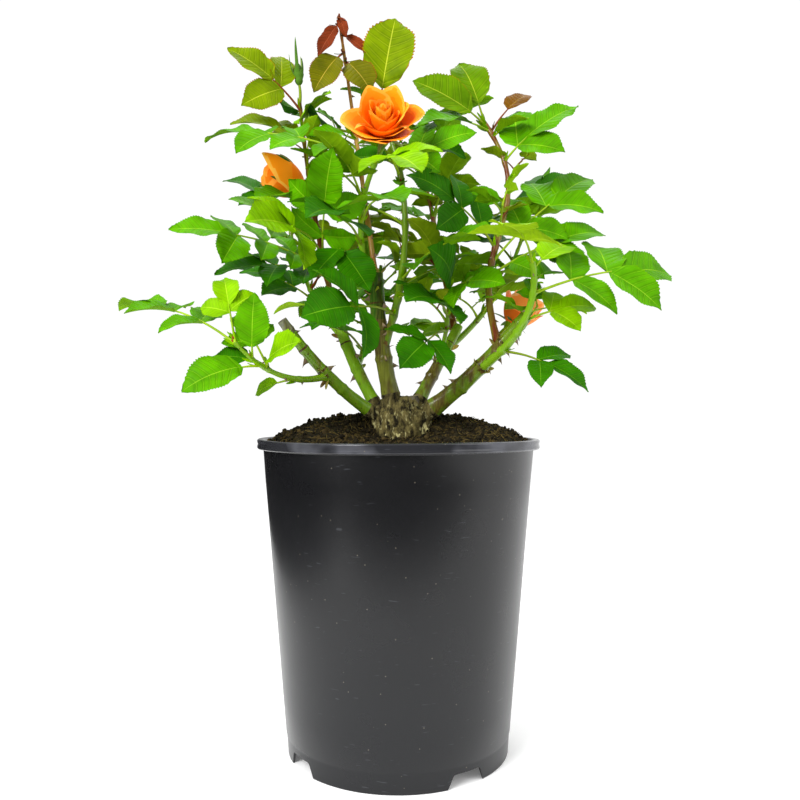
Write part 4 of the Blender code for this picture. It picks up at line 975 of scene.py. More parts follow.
def tintFor(height, chance):
    # old leaves low down are darker, and the young ones towards the top paler
    young = min(1, max(0, (height - 270) / 200))
    shares = {"deep": 0.36 - 0.2 * young, "mid": 0.38, "fresh": 0.22 + 0.12 * young, "olive": 0.04 + 0.08 * young}
    return chance.choices(list(shares), list(shares.values()))[0]


def stemShell(path, first, last, sides=6):
    # a plain stem, only to test what room it has
    stem = Heap("stem")
    radii = tapered(first, last, len(path))
    radii[0] *= 1.3
    tubeInto(stem, path, radii, sides, "none")
    return stem.shell()


def bloomShell(flower):
    # an egg round the bloom that no leaf may enter
    way = Vector(flower["way"]).normalized()
    middle = Vector(flower["base"]) + way * flower["deep"] * 0.5
    line = [middle + way * flower["deep"] * 0.62 * math.sin(math.radians(a)) for a in range(-90, 91, 30)]
    wide = [(flower["radius"] + 1) * max(0.02, math.cos(math.radians(a))) for a in range(-90, 91, 30)]
    egg = Heap("egg")
    tubeInto(egg, line, wide, 9, "none")
    return egg.shell()


def setLeaves(name, path, rows, chance):
    # the leaves that are given one by one
    made = []
    for given in rows:
        row = dict(zip(("at", "tip", "leaflets", "size", "face", "tint"), given))
        row["tip"] = Vector(row["tip"])
        made.append(tryLeaf(name, along(path, row["at"])[0], row, chance))
    return made


def planCrown():
    # every leaf of the crown: the given ones first, then the rule's, then the sprays, and last the finer twigs
    for name in ("trunk", "compost", *canes):
        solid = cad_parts[name].data
        corners = [corner.co / mm for corner in solid.vertices]
        takeRoom(name, corners, [tuple(face.vertices) for face in solid.polygons])
    paths = {name: shootPath(shoot) for name, shoot in shoots.items()}
    for name, shoot in shoots.items():
        takeRoom(name, *stemShell(paths[name], *shoot["radius"]))
    for flower in blooms.values():
        takeRoom("flower", *bloomShell(flower))
    plan = {name: setLeaves(name, paths[name], shoot["leaves"], random.Random(f"{rule['seed']} {name}"))
            for name, shoot in shoots.items()}
    for name, shoot in shoots.items():
        chance = random.Random(f"{rule['seed']} {name} fill")
        tinted = random.Random(f"{name} tint")
        for row in ruleLeaves(shoot, paths[name], chance):
            row["tint"] = tintFor(row["tip"].z, tinted)
            plan[name].append(tryLeaf(name, along(paths[name], row["at"])[0], row, chance))
    for name, rows in sprays.items():
        plan[name] += setLeaves(name, paths[name], rows, random.Random(f"{name} sprays"))
    plan = {name: [made for made in leaves if made] for name, leaves in plan.items()}
    twigs = planTwigs(paths)
    print("planned", sum(len(leaves) for leaves in plan.values()), "leaves and",
          sum(len(held) for rows in twigs.values() for at, line, held in rows), "small ones on finer twigs")
    return plan, twigs


def planTwigs(paths):
    # the finer side twigs, each with a few small leaves
    twigs = {}
    for name, shoot in shoots.items():
        chance = random.Random(f"{name} twig")
        twigs[name] = []
        for k in range(shoot["twigs"]):
            at = 0.2 + 0.7 * (k + chance.uniform(0.2, 0.8)) / shoot["twigs"]
            base, way = along(paths[name], at)
            turn = math.radians(shoot["turn"] + 70 + rule["turnPerLeaf"] * k)
            out = Vector((math.cos(turn), math.sin(turn), chance.uniform(0.5, 1.1))).normalized()
            line = bowed(base, base + out * chance.uniform(*rule["twigReach"]), way * 2.5, 9)
            if not inCrown(line) or not hasRoom(name, *stemShell(line, *rule["twigRadius"], 5)):
                continue
            held = []
            for j, place in enumerate(rule["twigLeaves"]):
                turn += math.radians(rule["turnPerLeaf"])
                side = Vector((math.cos(turn), math.sin(turn), 0.5 if place < 1 else 1.6)).normalized()
                foot = along(line, place)[0]
                row = {"at": place, "tip": foot + side * rule["twigLeafReach"] * chance.uniform(0.85, 1.15),
                       "leaflets": 3, "size": rule["twigLeaf"] * chance.uniform(0.85, 1.2), "outward": side,
                       "face": chance.uniform(15, 55), "tint": chance.choice(("fresh", "mid", "olive"))}
                made = tryLeaf(name, foot, row, chance)
                if made:
                    held.append(made)
            if held:
                takeRoom(name + "_twig", *stemShell(line, *rule["twigRadius"], 5))
                twigs[name].append((at, line, held))
    return twigs


# Rose leaf: a thin leathery blade, waxy above so that the veins between the raised parts catch the light, and
# paler and duller beneath. Each spray has one plain colour.
def waxyLeaf(name, hexColour, roughness, specular, relief):
    material, tree, shader = startMaterial(name, roughness, specular)
    place = addNode(tree, "ShaderNodeTexCoord").outputs["Object"]
    cloud = addNode(tree, "ShaderNodeTexNoise", inputs={"Vector": place, "Scale": perMm(16), "Detail": 3.0})
    share = addNode(tree, "ShaderNodeMapRange", inputs={0: cloud.outputs[0], 1: 0.3, 2: 0.7}).outputs[0]
    colour = toLinear(hexColour)
    darker = tuple(c * 0.68 for c in colour[:3]) + (1.0,)
    lighter = (colour[0] * 1.34, colour[1] * 1.2, colour[2], 1.0)
    blade = addNode(tree, "ShaderNodeMix", colourMix, {0: share, 6: darker, 7: lighter}).outputs[2]
    tree.links.new(blade, shader.inputs["Base Color"])
    grain = addNode(tree, "ShaderNodeTexNoise", inputs={"Vector": place, "Scale": perMm(0.9), "Detail": 2.0})
    bump = addNode(tree, "ShaderNodeBump", inputs={"Strength": relief, "Distance": 0.25 * mm,
                                                   "Height": grain.outputs[0]})
    tree.links.new(bump.outputs[0], shader.inputs["Normal"])
    return material


tints = {                # blade, its underside, its margin, its midrib and its stalk
    "deep": ("#296900", "#46820a", "#2c6000", "#5a9218", "stalkOlive"),
    "mid": ("#4e9400", "#669c0c", "#549000", "#82b822", "stalkGreen"),
    "fresh": ("#74ae00", "#82b012", "#78a600", "#a2cc2e", "stalkGreen"),
    "lime": ("#88c000", "#92c018", "#94ac00", "#bada3c", "stalkGreen"),
    "moss": ("#547e00", "#6e960e", "#6c7406", "#94aa2c", "stalkOlive"),
    "olive": ("#6a8600", "#7e9c14", "#8c640a", "#a8b834", "stalkRed"),
    "bronze": ("#5e6204", "#7a5c16", "#7a4410", "#a09034", "stalkRed"),
    "wine": ("#702e14", "#7e381c", "#561a0e", "#9a5236", "stalkRed"),
    "dry": ("#6a4600", "#6a5a08", "#542606", "#98802a", "stalkRed"),
}


def blended(first, second, share):
    # the first colour with a share of the second
    return "#" + "".join(f"{round(int(first[i:i + 2], 16) * (1 - share) + int(second[i:i + 2], 16) * share):02x}"
                         for i in (1, 3, 5))


leafMaterials = dict(woodMaterials)
for tint, (bladeHex, underHex, marginHex, ribHex, stalk) in tints.items():
    leafMaterials[tint] = waxyLeaf("leaf_" + tint, bladeHex, 0.48, 0.04, 0.2)
    # a darker copy of the blade for the strips beside the side veins: painted shade of the grooves
    leafMaterials[tint + "Low"] = waxyLeaf("leaf_low_" + tint, blended(bladeHex, "#061200", 0.09), 0.48, 0.04, 0.2)
    leafMaterials[tint + "Vein"] = waxyLeaf("leaf_vein_" + tint, blended(bladeHex, ribHex, 0.32), 0.48, 0.04, 0.1)
    leafMaterials[tint + "Under"] = waxyLeaf("leaf_under_" + tint, underHex, 0.65, 0.02, 0.2)
    leafMaterials[tint + "Margin"] = waxyLeaf("leaf_margin_" + tint, marginHex, 0.48, 0.04, 0.2)
    leafMaterials[tint + "Rib"] = waxyLeaf("leaf_rib_" + tint, ribHex, 0.5, 0.04, 0.1)
leafMaterials["stalkGreen"] = waxyLeaf("stalk_green", "#8eb41c", 0.4, 0.14, 0.15)
leafMaterials["stalkOlive"] = waxyLeaf("stalk_olive", "#76901a", 0.45, 0.14, 0.15)
leafMaterials["stalkRed"] = waxyLeaf("stalk_red", "#80401c", 0.45, 0.14, 0.15)
leafMaterials["budScale"] = waxyLeaf("bud_scale", "#a39a48", 0.7, 0.15, 0.4)
leafMaterials["dryScale"] = waxyLeaf("dry_scale", "#7b6434", 0.8, 0.1, 0.5)
leafMaterials["greenScale"] = waxyLeaf("green_scale", "#8fa22a", 0.6, 0.2, 0.3)
leafMaterials["sepal"] = waxyLeaf("sepal", "#4e7a26", 0.6, 0.1, 0.4)
leafMaterials["sepalDown"] = waxyLeaf("sepal_down", "#8aa662", 0.8, 0.05, 0.4)
leafMaterials["rindWine"] = waxyRind("rind_wine", "#76621a", "#6a2e14", 0.46)
leafMaterials["rindBlush"] = waxyRind("rind_blush", "#b4863a", "#a85c32", 0.46)
leaflet = {              # shares of its length or of its half width, unless the note says otherwise
    "columns": (-1, -0.965, -0.64, -0.32, -0.022, 0.022, 0.32, 0.64, 0.965, 1), "wide": (0.56, 0.66), "slim": 0.66,
    "foot": 0.52, "tip": (0.5, 0.68), "widest": 0.445, "point": 0.7, "pointFrom": 0.72,
    "veins": 7, "vein": 0.005, "between": (0.22, 0.5, 0.78), "sweep": 0.27, "teeth": 0.034,
    "arch": (0.02, 0.075), "fold": (0.16, 0.42), "droop": (0.0, 0.28), "quilt": (0.007, 0.014),
    "wave": (0.006, 0.022), "twist": 10,         # degrees
    "thick": 0.36, "edge": 0.1, "rib": 0.4,      # mm
}


def leafletRows(veins):
    # places along the midrib: two close rows for each side vein, with a raised panel between, and the strips beside
    # each vein marked low for painted shade
    rows, raised, kind = [0.0], [0.0], ["panel"]
    gap = 0.9 / veins
    for k in range(veins):
        spot = 0.05 + gap * k * (1 - 0.012 * k)
        following = 0.05 + gap * (k + 1) * (1 - 0.012 * (k + 1)) if k < veins - 1 else 1.0
        rows += [spot - leaflet["vein"], spot + leaflet["vein"]]
        raised += [0.0, 0.0]
        kind += ["vein", "low"]
        for part in leaflet["between"]:
            rows.append(spot + (following - spot) * part)
            raised.append(math.sin(math.pi * part) ** 0.7)
            kind.append("low" if part > 0.7 else "panel")
    return np.array(rows + [1.0]), np.array(raised + [0.0]), kind + ["low"]


leafletGrid = leafletRows(leaflet["veins"])


def leafletInto(heap, base, way, normal, length, tint, chance, wide=1.0):
    # one toothed, folded and arched blade, with its panels raised between the side veins and painted shade on the
    # strips beside them
    s, raised, kind = leafletGrid
    across = np.array(leaflet["columns"])
    reach = np.abs(across)[None, :]
    sweep = leaflet["sweep"] * np.clip(s / 0.18, 0, 1) * (1 - s) ** 0.8
    t = s[:, None] + sweep[:, None] * reach ** 1.15
    start = leaflet["pointFrom"]
    drawn = 1 - leaflet["point"] * np.clip((t - start) / (1 - start), 0, 1) ** 1.3       # draws the tip to a point
    outline = ((t + 0.004) ** leaflet["foot"]) * (1.004 - t) ** chance.uniform(*leaflet["tip"]) * drawn
    half = outline / leaflet["widest"] * length * chance.uniform(*leaflet["wide"]) * wide / 2
    tooth = np.where(np.isin(np.arange(len(s)) % 5, (1, 2, 4)), 1.0, -1.0)
    tooth = tooth * np.clip(np.minimum(s, 1.02 - s) * 9, 0, 1)
    rim = reach > 0.99
    x = across[None, :] * half * (1 + np.where(rim, tooth[:, None] * leaflet["teeth"], 0))
    forward = t * length * (1 + np.where(rim, 0.012 * tooth[:, None], 0))
    arch, fold, droop, quilt, wave = (chance.uniform(*leaflet[key])
                                      for key in ("arch", "fold", "droop", "quilt", "wave"))
    swing = chance.uniform(0, 6.28)
    height = arch * length * 4 * t * (1 - t) - droop * length * np.clip(t - 0.45, 0, 1) ** 2
    height = height + fold * np.abs(x) * (1 - 0.35 * t)
    height = height + quilt * length * raised[:, None] * np.sin(math.pi * reach ** 0.8) * (1 - s[:, None]) ** 0.3
    ripple = np.sin(2 * math.pi * 2.3 * t + swing + np.where(across > 0, 2.2, 0)[None, :])
    height = height + wave * length * reach ** 3 * ripple * 1.6
    side = way.cross(normal)
    turn = math.radians(chance.uniform(-leaflet["twist"], leaflet["twist"])) * t
    x, height = x * np.cos(turn) - height * np.sin(turn), x * np.sin(turn) + height * np.cos(turn)
    way, side, normal = (np.array(v[:]) for v in (way, side, normal))
    top = np.array(base[:]) + forward[..., None] * way + x[..., None] * side + height[..., None] * normal
    thin = leaflet["thick"] * np.clip((1 - reach) * 3, 0, 1) + leaflet["edge"] * (reach < 0.99)
    rib = (reach < 0.1) * leaflet["rib"] * (1 - 0.6 * t)
    under = top - (thin + rib)[..., None] * normal
    upper = sheetQuads(len(s), len(across))
    # the strips marked low, beside the veins, take the darker copy: painted shade
    parts = {"panel": tint, "low": tint + "Low", "vein": tint + "Vein"}
    above = []
    for row in kind[:-1]:
        above += [tint + "Margin"] + [parts[row]] * 3 + [tint + "Rib"] + [parts[row]] * 3 + [tint + "Margin"]
    below = [tint + "Under"] * 4 + [tint + "Rib"] + [tint + "Under"] * 4
    heap.add(top, upper, above)
    heap.add(under, upper[:, ::-1], below * (len(s) - 1))


def scaleInto(heap, base, way, normal, length, finish, chance, wide=0.5):
    # a stipule or a dried scale: a small plain blade that curls at its tip
    rows, across = 7, np.array([-1, -0.4, 0.4, 1])
    t = np.linspace(0, 1, rows + 1)
    half = length * wide / 2 * (t + 0.12) ** 0.5 * (1.02 - t) ** 0.6 * 1.5
    curl = chance.uniform(0.1, 0.45)
    height = (0.3 * half[:, None] * np.abs(across)[None, :] + curl * length * (t[:, None] ** 2))
    side = np.array(way.cross(normal)[:])
    points = (np.array(base[:]) + (t[:, None, None] * length) * np.array(way[:])
              + (half[:, None] * across[None, :])[..., None] * side + height[..., None] * np.array(normal[:]))
    upper = sheetQuads(rows + 1, len(across))
    heap.add(points, upper, finish)
    heap.add(points - np.array(normal[:]) * 0.2, upper[:, ::-1], finish)


twig = {"sides": 12, "rings": 46, "knot": 0.28, "knotLong": 0.012, "uneven": 0.05, "fineRings": 16,
        "stalkRings": 9, "stalkSides": 6, "stalk": (0.95, 0.5), "fineStalk": 0.6, "stipule": 7.5, "axilBud": 2.6,
        "prickleEvery": 14, "prickle": (2.4, 4.2), "scales": 5, "scale": (4, 8)}


def coneInto(heap, foot, way, long, wide, finish, bulge=0.6, sides=8):
    # a small plump bud
    rings = 7
    line = [foot + way * long * i / (rings - 1) for i in range(rings)]
    radii = [wide * (math.sin(math.pi * (0.16 + 0.84 * i / (rings - 1))) ** bulge + 0.02) for i in range(rings)]
    tubeInto(heap, line, radii, sides, finish)


def leafInto(leaves, twigs, made, way, chance, fine=False):
    # a compound leaf: its stalk, and unless it is a fine one its stipules and the bud in its axil, then its leaflets
    stalk, tint = made["stalk"], made["tint"]
    base = stalk[0]
    spline = smoothed(stalk, twig["stalkRings"])
    scale = twig["fineStalk"] if fine else 1.0
    radii = tapered(twig["stalk"][0] * scale, twig["stalk"][1] * scale, len(spline))
    radii[0] *= 1.5
    tubeInto(twigs, spline, radii, twig["stalkSides"], tints[tint][4])
    forward = (spline[1] - spline[0]).normalized()
    side = squareTo(way.cross(forward) if way.cross(forward).length > 0.1 else way.orthogonal(), forward)
    if not fine:
        face = squareTo(way, forward)
        wing = "fresh" if tint in ("mid", "deep", "lime") else tint
        for hand in (-1, 1):             # the stipules, two narrow wings at the foot of the stalk
            aside = (forward + side * hand * 0.32).normalized()
            scaleInto(leaves, base + forward * 1.0 + side * hand * 0.5, aside, squareTo(face, aside),
                      twig["stipule"], wing, chance, 0.34)
        bud = (way * 0.85 + forward * 0.5).normalized()
        coneInto(twigs, base + forward * 1.6 + way * 0.7, bud, twig["axilBud"], 0.75, "stalkRed")
    wide = leaflet["slim"] if tint == "wine" else 1.0
    for root, direction, normal, length in made["blades"]:
        leafletInto(leaves, root, direction, normal, length, tint, chance, wide)


def smoothed(points, count):
    # a Catmull-Rom line through the points
    ends = [points[0] * 2 - points[1], *points, points[-1] * 2 - points[-2]]
    line = []
    for i in range(count):
        place = (len(points) - 1) * i / (count - 1)
        k = min(int(place), len(points) - 2)
        t = place - k
        a, b, c, d = ends[k:k + 4]
        line.append(0.5 * (2 * b + (c - a) * t + (2 * a - 5 * b + 4 * c - d) * t ** 2
                           + (3 * b - a - 3 * c + d) * t ** 3))
    return line


def stemInto(heap, path, first, last, knots, finish, chance, prickles=True):
    # a shoot's stem, swollen at each leaf, with its prickles
    count = len(path)
    radii = limbRadii(first, last, count, knots, twig["knot"], twig["knotLong"])
    for i in range(4):
        radii[i] *= 1.35 - 0.09 * i                # the collar where it leaves its cane
    seed = chance.uniform(0, 40)

    def uneven(i, k):
        turn = 2 * math.pi * k / twig["sides"]
        return 1 + twig["uneven"] * noise.noise(Vector((math.cos(turn), math.sin(turn), i * 0.25 + seed)))

    tubeInto(heap, path, radii, twig["sides"], finish, None, uneven)
    length = sum((path[i + 1] - path[i]).length for i in range(count - 1))
    if not prickles:
        return
    for k in range(int(length / twig["prickleEvery"])):
        at = (k + chance.uniform(0.2, 0.9)) * twig["prickleEvery"] / length
        if at < 0.95:
            place, way = along(path, at)
            out = spoke(way.orthogonal().normalized(), way, chance.uniform(0, 2 * math.pi))
            radius = first + (last - first) * at
            long = chance.uniform(*twig["prickle"]) * (1.15 - 0.4 * at)
            prickleInto(heap, place + out * radius * 0.95, way, out, long, "prickle")


def makeFoliage():
    # each shoot's leaves as one piece, and its stem with the stalks and finer twigs as another
    plan, finer = planCrown()
    for name, shoot in shoots.items():
        chance = random.Random(f"{name} looks")
        leaves, twigs = Heap(name + "_leaves"), Heap(name + "_twigs")
        path = shootPath(shoot, twig["rings"])
        knots = [made["at"] for made in plan[name]] + [at for at, line, held in finer[name]]
        stemInto(twigs, path, *shoot["radius"], knots, shoot["rind"], chance)
        for made in plan[name]:
            leafInto(leaves, twigs, made, along(path, made["at"])[1], chance)
        for at, line, held in finer[name]:
            stemInto(twigs, smoothed(line, twig["fineRings"]), *rule["twigRadius"], rule["twigLeaves"], "stalkGreen",
                     chance, False)
            for made in held:
                leafInto(leaves, twigs, made, along(line, made["at"])[1], chance, True)
        foot, way = along(path, 0.0)
        for k in range(twig["scales"]):          # the old bud scales round the shoot's collar
            turn = 2 * math.pi * (k + chance.random() * 0.6) / twig["scales"]
            out = spoke(way.orthogonal().normalized(), way, turn)
            direction = (way + out * chance.uniform(0.2, 0.7)).normalized()
            place = foot + way * (1 + k * 0.5) + out * shoot["radius"][0] * 1.05
            long, finish = chance.uniform(*twig["scale"]), chance.choice(("budScale", "dryScale", "greenScale"))
            scaleInto(leaves, place, direction, squareTo(out, direction), long, finish, chance, 0.62)
        dress(leaves.build(leafMaterials), "leaf_green", name)
        dress(twigs.build(leafMaterials), "leaf_green", name)


# Rose petal: a thin satin blade, deep orange in the cup and at its foot, which is painted shade, and paler where the
# rim rolls over, in part a painted highlight. Some petals also glow a little, painted light as if daylight passed
# into them.
def satinPetal(name, hexColour, lighter, paintedGlow):
    material, tree, shader = startMaterial(name, 0.55, 0.1)
    shader.inputs["Subsurface Weight"].default_value = 0.12
    shader.inputs["Subsurface Radius"].default_value = (1.0, 0.4, 0.1)
    shader.inputs["Subsurface Scale"].default_value = 1.5 * mm
    place = addNode(tree, "ShaderNodeTexCoord").outputs["Object"]
    cloud = addNode(tree, "ShaderNodeTexNoise", inputs={"Vector": place, "Scale": perMm(7), "Detail": 3.0})
    share = addNode(tree, "ShaderNodeMapRange", inputs={0: cloud.outputs[0], 1: 0.3, 2: 0.7}).outputs[0]
    colour = addNode(tree, "ShaderNodeMix", colourMix,
                     {0: share, 6: toLinear(hexColour), 7: toLinear(lighter)}).outputs[2]
    tree.links.new(colour, shader.inputs["Base Color"])
    # The colour is also given off as light: a painted glow that lifts petals lying in shade.
    tree.links.new(colour, shader.inputs["Emission Color"])
    shader.inputs["Emission Strength"].default_value = paintedGlow
    grain = addNode(tree, "ShaderNodeTexNoise", inputs={"Vector": place, "Scale": perMm(0.8), "Detail": 2.0})
    bump = addNode(tree, "ShaderNodeBump", inputs={"Strength": 0.15, "Distance": 0.2 * mm,
                                                   "Height": grain.outputs[0]})
    tree.links.new(bump.outputs[0], shader.inputs["Normal"])
    return material


# Each palette runs from a darker foot, painted shade deep in the cup, to a paler rim that is in part a painted
# highlight where it rolls.
petalColours = {         # foot, lower half, middle, upper part and rim of a petal, then its outside
    "open": ("#d84000", "#f06000", "#f97c00", "#fc8c06", "#fda432", "#fa8c0a"),
    "outer": ("#dc4a00", "#f06a00", "#f88006", "#fb900e", "#fda02e", "#f88c10"),
    "shade": ("#b43000", "#ca4a00", "#de6200", "#ee7804", "#f89020", "#ea7204"),
    "bud": ("#e24c04", "#f67a0a", "#fc8e10", "#ff9c1a", "#ffb444", "#fc9010"),
    # a darker copy of the bud's colours for its inner and lower petals: painted shade
    "budLow": ("#b04004", "#d05806", "#e06c08", "#e87a10", "#f09430", "#e07008"),
    "pale": ("#cf5206", "#e0661a", "#ee7a2a", "#f68e40", "#fcae6e", "#f68a3c"),
}
petalParts = ("foot", "lower", "middle", "upper", "rim", "back")
paintedPetalGlow = {"bud": 0.26, "budLow": 0.2, "pale": 0.12}          # a painted glow given off by the petals, as if daylight passed into them


petalMaterials = {}
for name, shades in petalColours.items():
    for part, colour in zip(petalParts, shades):
        petalMaterials[name + part.capitalize()] = satinPetal(
            "petal_" + name + "_" + part, colour, blended(colour, "#ffb040", 0.12), paintedPetalGlow.get(name, 0.0))


def whorl(count, first, *rest):
    # a ring of petals that are alike
    return [(first + 360 * k / count, *rest) for k in range(count)]


# Blooms: the shoot and the place on it, the foot of the petals, the way it opens, its sepals, and its petals.
# A petal is the turn it stands at, its length, half width, the leans of its foot, middle and tip, how far
# its rim rolls back, its distance from the axis at the foot, how pointed it is, how far round its point is set,
# and its colours.
blooms = {
    "open_bloom": {
        "shoot": "foliage_bloom", "at": 1.0, "base": (-9, -30, 400), "way": (0, -0.62, 0.78), "radius": 27,
        "deep": 34, "heart": (-9.5, -31, 401.5), "opens": (0, -0.79, 0.61), "sepals": ((100, 30, 15), 5), "petals": [
            *whorl(3, 20, 24.5, 5, (8, 4, -6), 0, 0.7, 0.2, 0, "open"),
            *whorl(3, 80, 24, 7.5, (16, 9, -4), 8, 1.1, 0.22, 0.2, "open"),
            (10, 23.5, 11, (26, 14, 0), 14, 1.5, 0.22, 0.3, "open"),
            (130, 25, 11, (26, 14, 0), 14, 1.5, 0.22, 0.3, "open"),
            (248, 22.5, 14.5, (34, 18, 4), 16, 1.7, 0.34, -0.6, "open"),
            (310, 20, 11, (38, 22, 6), 20, 1.9, 0.2, 0.3, "open"),
            (104, 31, 17, (40, 27, 16), 34, 2.1, 0.36, 0, "open"),
            (40, 31, 17, (42, 26, 14), 44, 2.1, 0.36, 0, "open"),
            (165, 24, 15, (48, 30, 16), 34, 2.3, 0.2, 0.3, "open"),
            (348, 27, 15, (46, 28, 14), 46, 2.3, 0.2, -0.3, "open"),
            (246, 24.5, 22, (58, 38, 22), 88, 2.4, -0.3, 0, "open"),
            (176, 30.5, 21, (56, 54, 56), 34, 2.8, 0.26, 0.1, "outer"),
            (330, 29.5, 21, (54, 48, 48), 44, 2.8, 0.28, 0.1, "shade"),
            (218, 25, 16, (68, 58, 54), 34, 3.0, 0.2, 0, "outer"),
            (282, 23, 16, (66, 58, 50), 40, 3.0, 0.2, 0, "shade"),
            (80, 27, 13, (52, 40, 32), 50, 2.8, 0.24, 0, "outer"),
        ],
    },
    "left_bud": {
        "shoot": "foliage_left_top", "at": 0.52, "base": (-69, 12, 386), "way": (-0.93, -0.2, 0.36), "radius": 12.5,
        "deep": 33, "heart": (-65, 12, 380.5), "opens": (-0.93, -0.2, 0.29), "sepals": ((66, -74, 23), 5), "petals": [
            *whorl(3, 0, 29, 6, (24, 6, -14), 0, 1.0, 0.3, 0, "budLow"),
            *whorl(3, 50, 31, 9, (40, 8, -14), 0, 1.6, 0.3, 0, "budLow"),
            (90, 33, 16, (54, 8, -14), 6, 2.0, 0.26, 0, "bud"),
            (180, 30, 17, (62, 10, -16), 6, 2.0, 0.2, 0, "budLow"),
            (240, 32, 18, (54, 8, -16), 8, 2.0, 0.26, 0.3, "budLow"),
            (322, 38, 18, (60, 11, -18), 10, 3.0, 0.42, 0, "bud"),
        ],
    },
    "right_bloom": {
        "shoot": "foliage_right_top", "at": 0.04, "base": (76, 5, 284), "way": (0.62, 0.1, 0.78), "radius": 15,
        "deep": 25, "heart": (76, 5, 284), "opens": (0.62, 0.1, 0.78), "sepals": ((85, 40, 14), 5), "petals": [
            *whorl(3, 10, 25, 6, (12, 3, -12), 0, 1.0, 0.2, 0, "pale"),
            *whorl(3, 70, 26, 9, (30, 8, -12), 8, 1.6, 0.18, 0, "pale"),
            *whorl(4, 40, 27, 12, (50, 14, -6), 26, 2.0, 0.18, 0, "pale"),
            *whorl(3, 15, 26, 12.5, (62, 24, 6), 44, 2.4, 0.2, 0, "pale"),
        ],
    },
}
petal = {"rows": 22, "columns": 19, "thick": 0.4, "spiral": 0.9, "edgeRoll": 3.2, "ruffle": 0.5,
         "bands": (0.2, 0.42, 0.72, 0.92), "rimWide": 0.93}
flowerStalk = {"radii": (1.5, 1.3), "sides": 12, "lift": 1.5, "rings": 16, "hip": 3.4, "hipDeep": 5.0, "hipSides": 18,
               "hipShape": ((-1, 0.4), (-0.75, 0.72), (-0.4, 0.94), (0, 1), (0.4, 0.92), (0.75, 0.74), (0.9, 0.5))}
sepal = {"rows": 14, "columns": (-1, -0.5, 0, 0.5, 1), "foot": 2.4, "wide": 2.7, "cupped": 0.3, "thick": 0.3}
greenBud = {"shoot": "foliage_left_top", "way": (-0.04, -0.03, 1), "radius": 3.7, "deep": 15, "sides": 18,
            "stalk": 11, "stalkRadii": (1.2, 0.9), "slim": 0.62, "turn": 4.4,
            "shape": ((-0.03, 0.3), (0.06, 0.62), (0.16, 0.8), (0.24, 0.74), (0.32, 0.84), (0.46, 1.0), (0.64, 0.88),
                      (0.82, 0.58), (0.94, 0.3), (1.0, 0.08)),      # place along the bud and share of its radius
            "sepals": ((28, 15), (15, 24), (17, 20), (14, 24), (19, 20))}      # length in mm and lean in degrees


def petalFinishes(v, u, colours):
    # each face's part of the petal, inside and outside
    hollow, skin = [], []
    for a in range(len(v) - 1):
        for b in range(len(u) - 1):
            spot = v[a] + 0.14 * abs(u[b] + u[b + 1]) / 2 * v[a]
            band = sum(spot > limit for limit in petal["bands"])
            rim = max(abs(u[b]), abs(u[b + 1])) > petal["rimWide"] and v[a] > 0.4
            hollow.append(colours + ("Rim" if rim else petalParts[band].capitalize()))
            skin.append(colours + ("Rim" if rim or band == 4 else "Back" if band > 1 else "Lower"))
    return hollow, skin


def petalInto(heap, base, way, row, chance):
    # one cupped petal with a rolled rim; r is how far it stands from the bloom's axis and z how far along it
    turn, length, wide, leans, roll, foot, point, skew, colours = row
    turn = math.radians(turn + chance.uniform(-4, 4))
    rows, columns = petal["rows"], petal["columns"]
    v = np.linspace(0, 1, rows)
    u = np.linspace(-1, 1, columns)
    first, middle, last = (math.radians(a) for a in leans)
    lean = first * (1 - v) * (1 - 2 * v) + middle * 4 * v * (1 - v) + last * v * (2 * v - 1)
    lean = lean + math.radians(roll) * np.clip((v - 0.68) / 0.32, 0, 1) ** 1.6
    step = length / (rows - 1)
    r = foot + np.concatenate([[0], np.cumsum(np.sin(lean)[:-1] * step)])
    z = np.concatenate([[0], np.cumsum(np.cos(lean)[:-1] * step)])
    span = wide * (0.22 + 0.78 * np.sin(math.pi / 2 * np.clip(v / 0.66, 0, 1)) ** 0.9) * chance.uniform(0.95, 1.05)
    pull = 1 - point * np.abs(u - skew) ** 1.25
    pull = pull / pull.max()
    vv = v[:, None] * pull[None, :]                       # draws the corners in, to a rounded tip with a point
    rr = np.interp(vv, v, r)
    zz = np.interp(vv, v, z)
    arc = span[:, None] * u[None, :]
    bend = np.maximum(rr, 2.2)
    angle = np.clip(arc / bend, -2.6, 2.6)
    rr = rr + petal["spiral"] * u[None, :]
    edge = np.clip(np.abs(u)[None, :] - 0.6, 0, 1) * np.clip(v[:, None] - 0.4, 0, 1)
    rr = rr + edge * petal["edgeRoll"] * 4 * (roll / 60)
    zz = zz - edge * petal["edgeRoll"] * 2.2 * (roll / 60)
    swing = chance.uniform(0, 6.28)
    rr = rr + petal["ruffle"] * (v[:, None] ** 3) * np.sin(3.4 * u[None, :] * 1.4 + swing)
    outward = rr - bend + bend * np.cos(angle)
    sideways = bend * np.sin(angle)
    across = squareTo(Vector((1, 0.2, 0.3)), way)
    third = way.cross(across)
    out = np.array((across * math.cos(turn) + third * math.sin(turn))[:])
    side = np.array((third * math.cos(turn) - across * math.sin(turn))[:])
    inner = (np.array(base[:]) + outward[..., None] * out + sideways[..., None] * side
             + zz[..., None] * np.array(way[:]))
    du = np.gradient(inner, axis=1)
    dv = np.gradient(inner, axis=0)
    normal = np.cross(du, dv)
    normal /= np.linalg.norm(normal, axis=2, keepdims=True) + 1e-9
    thinSide, thinTip = np.minimum(1, (1 - np.abs(u)) * 5 + 0.1), np.minimum(1, (1 - v) * 6 + 0.1)
    thick = petal["thick"] * thinSide[None, :] * thinTip[:, None]
    outer = inner + normal * thick[..., None]
    quads = sheetQuads(rows, columns)
    hollow, skin = petalFinishes(v, u, colours)
    heap.add(inner, quads[:, ::-1], hollow)
    heap.add(outer, quads, skin)


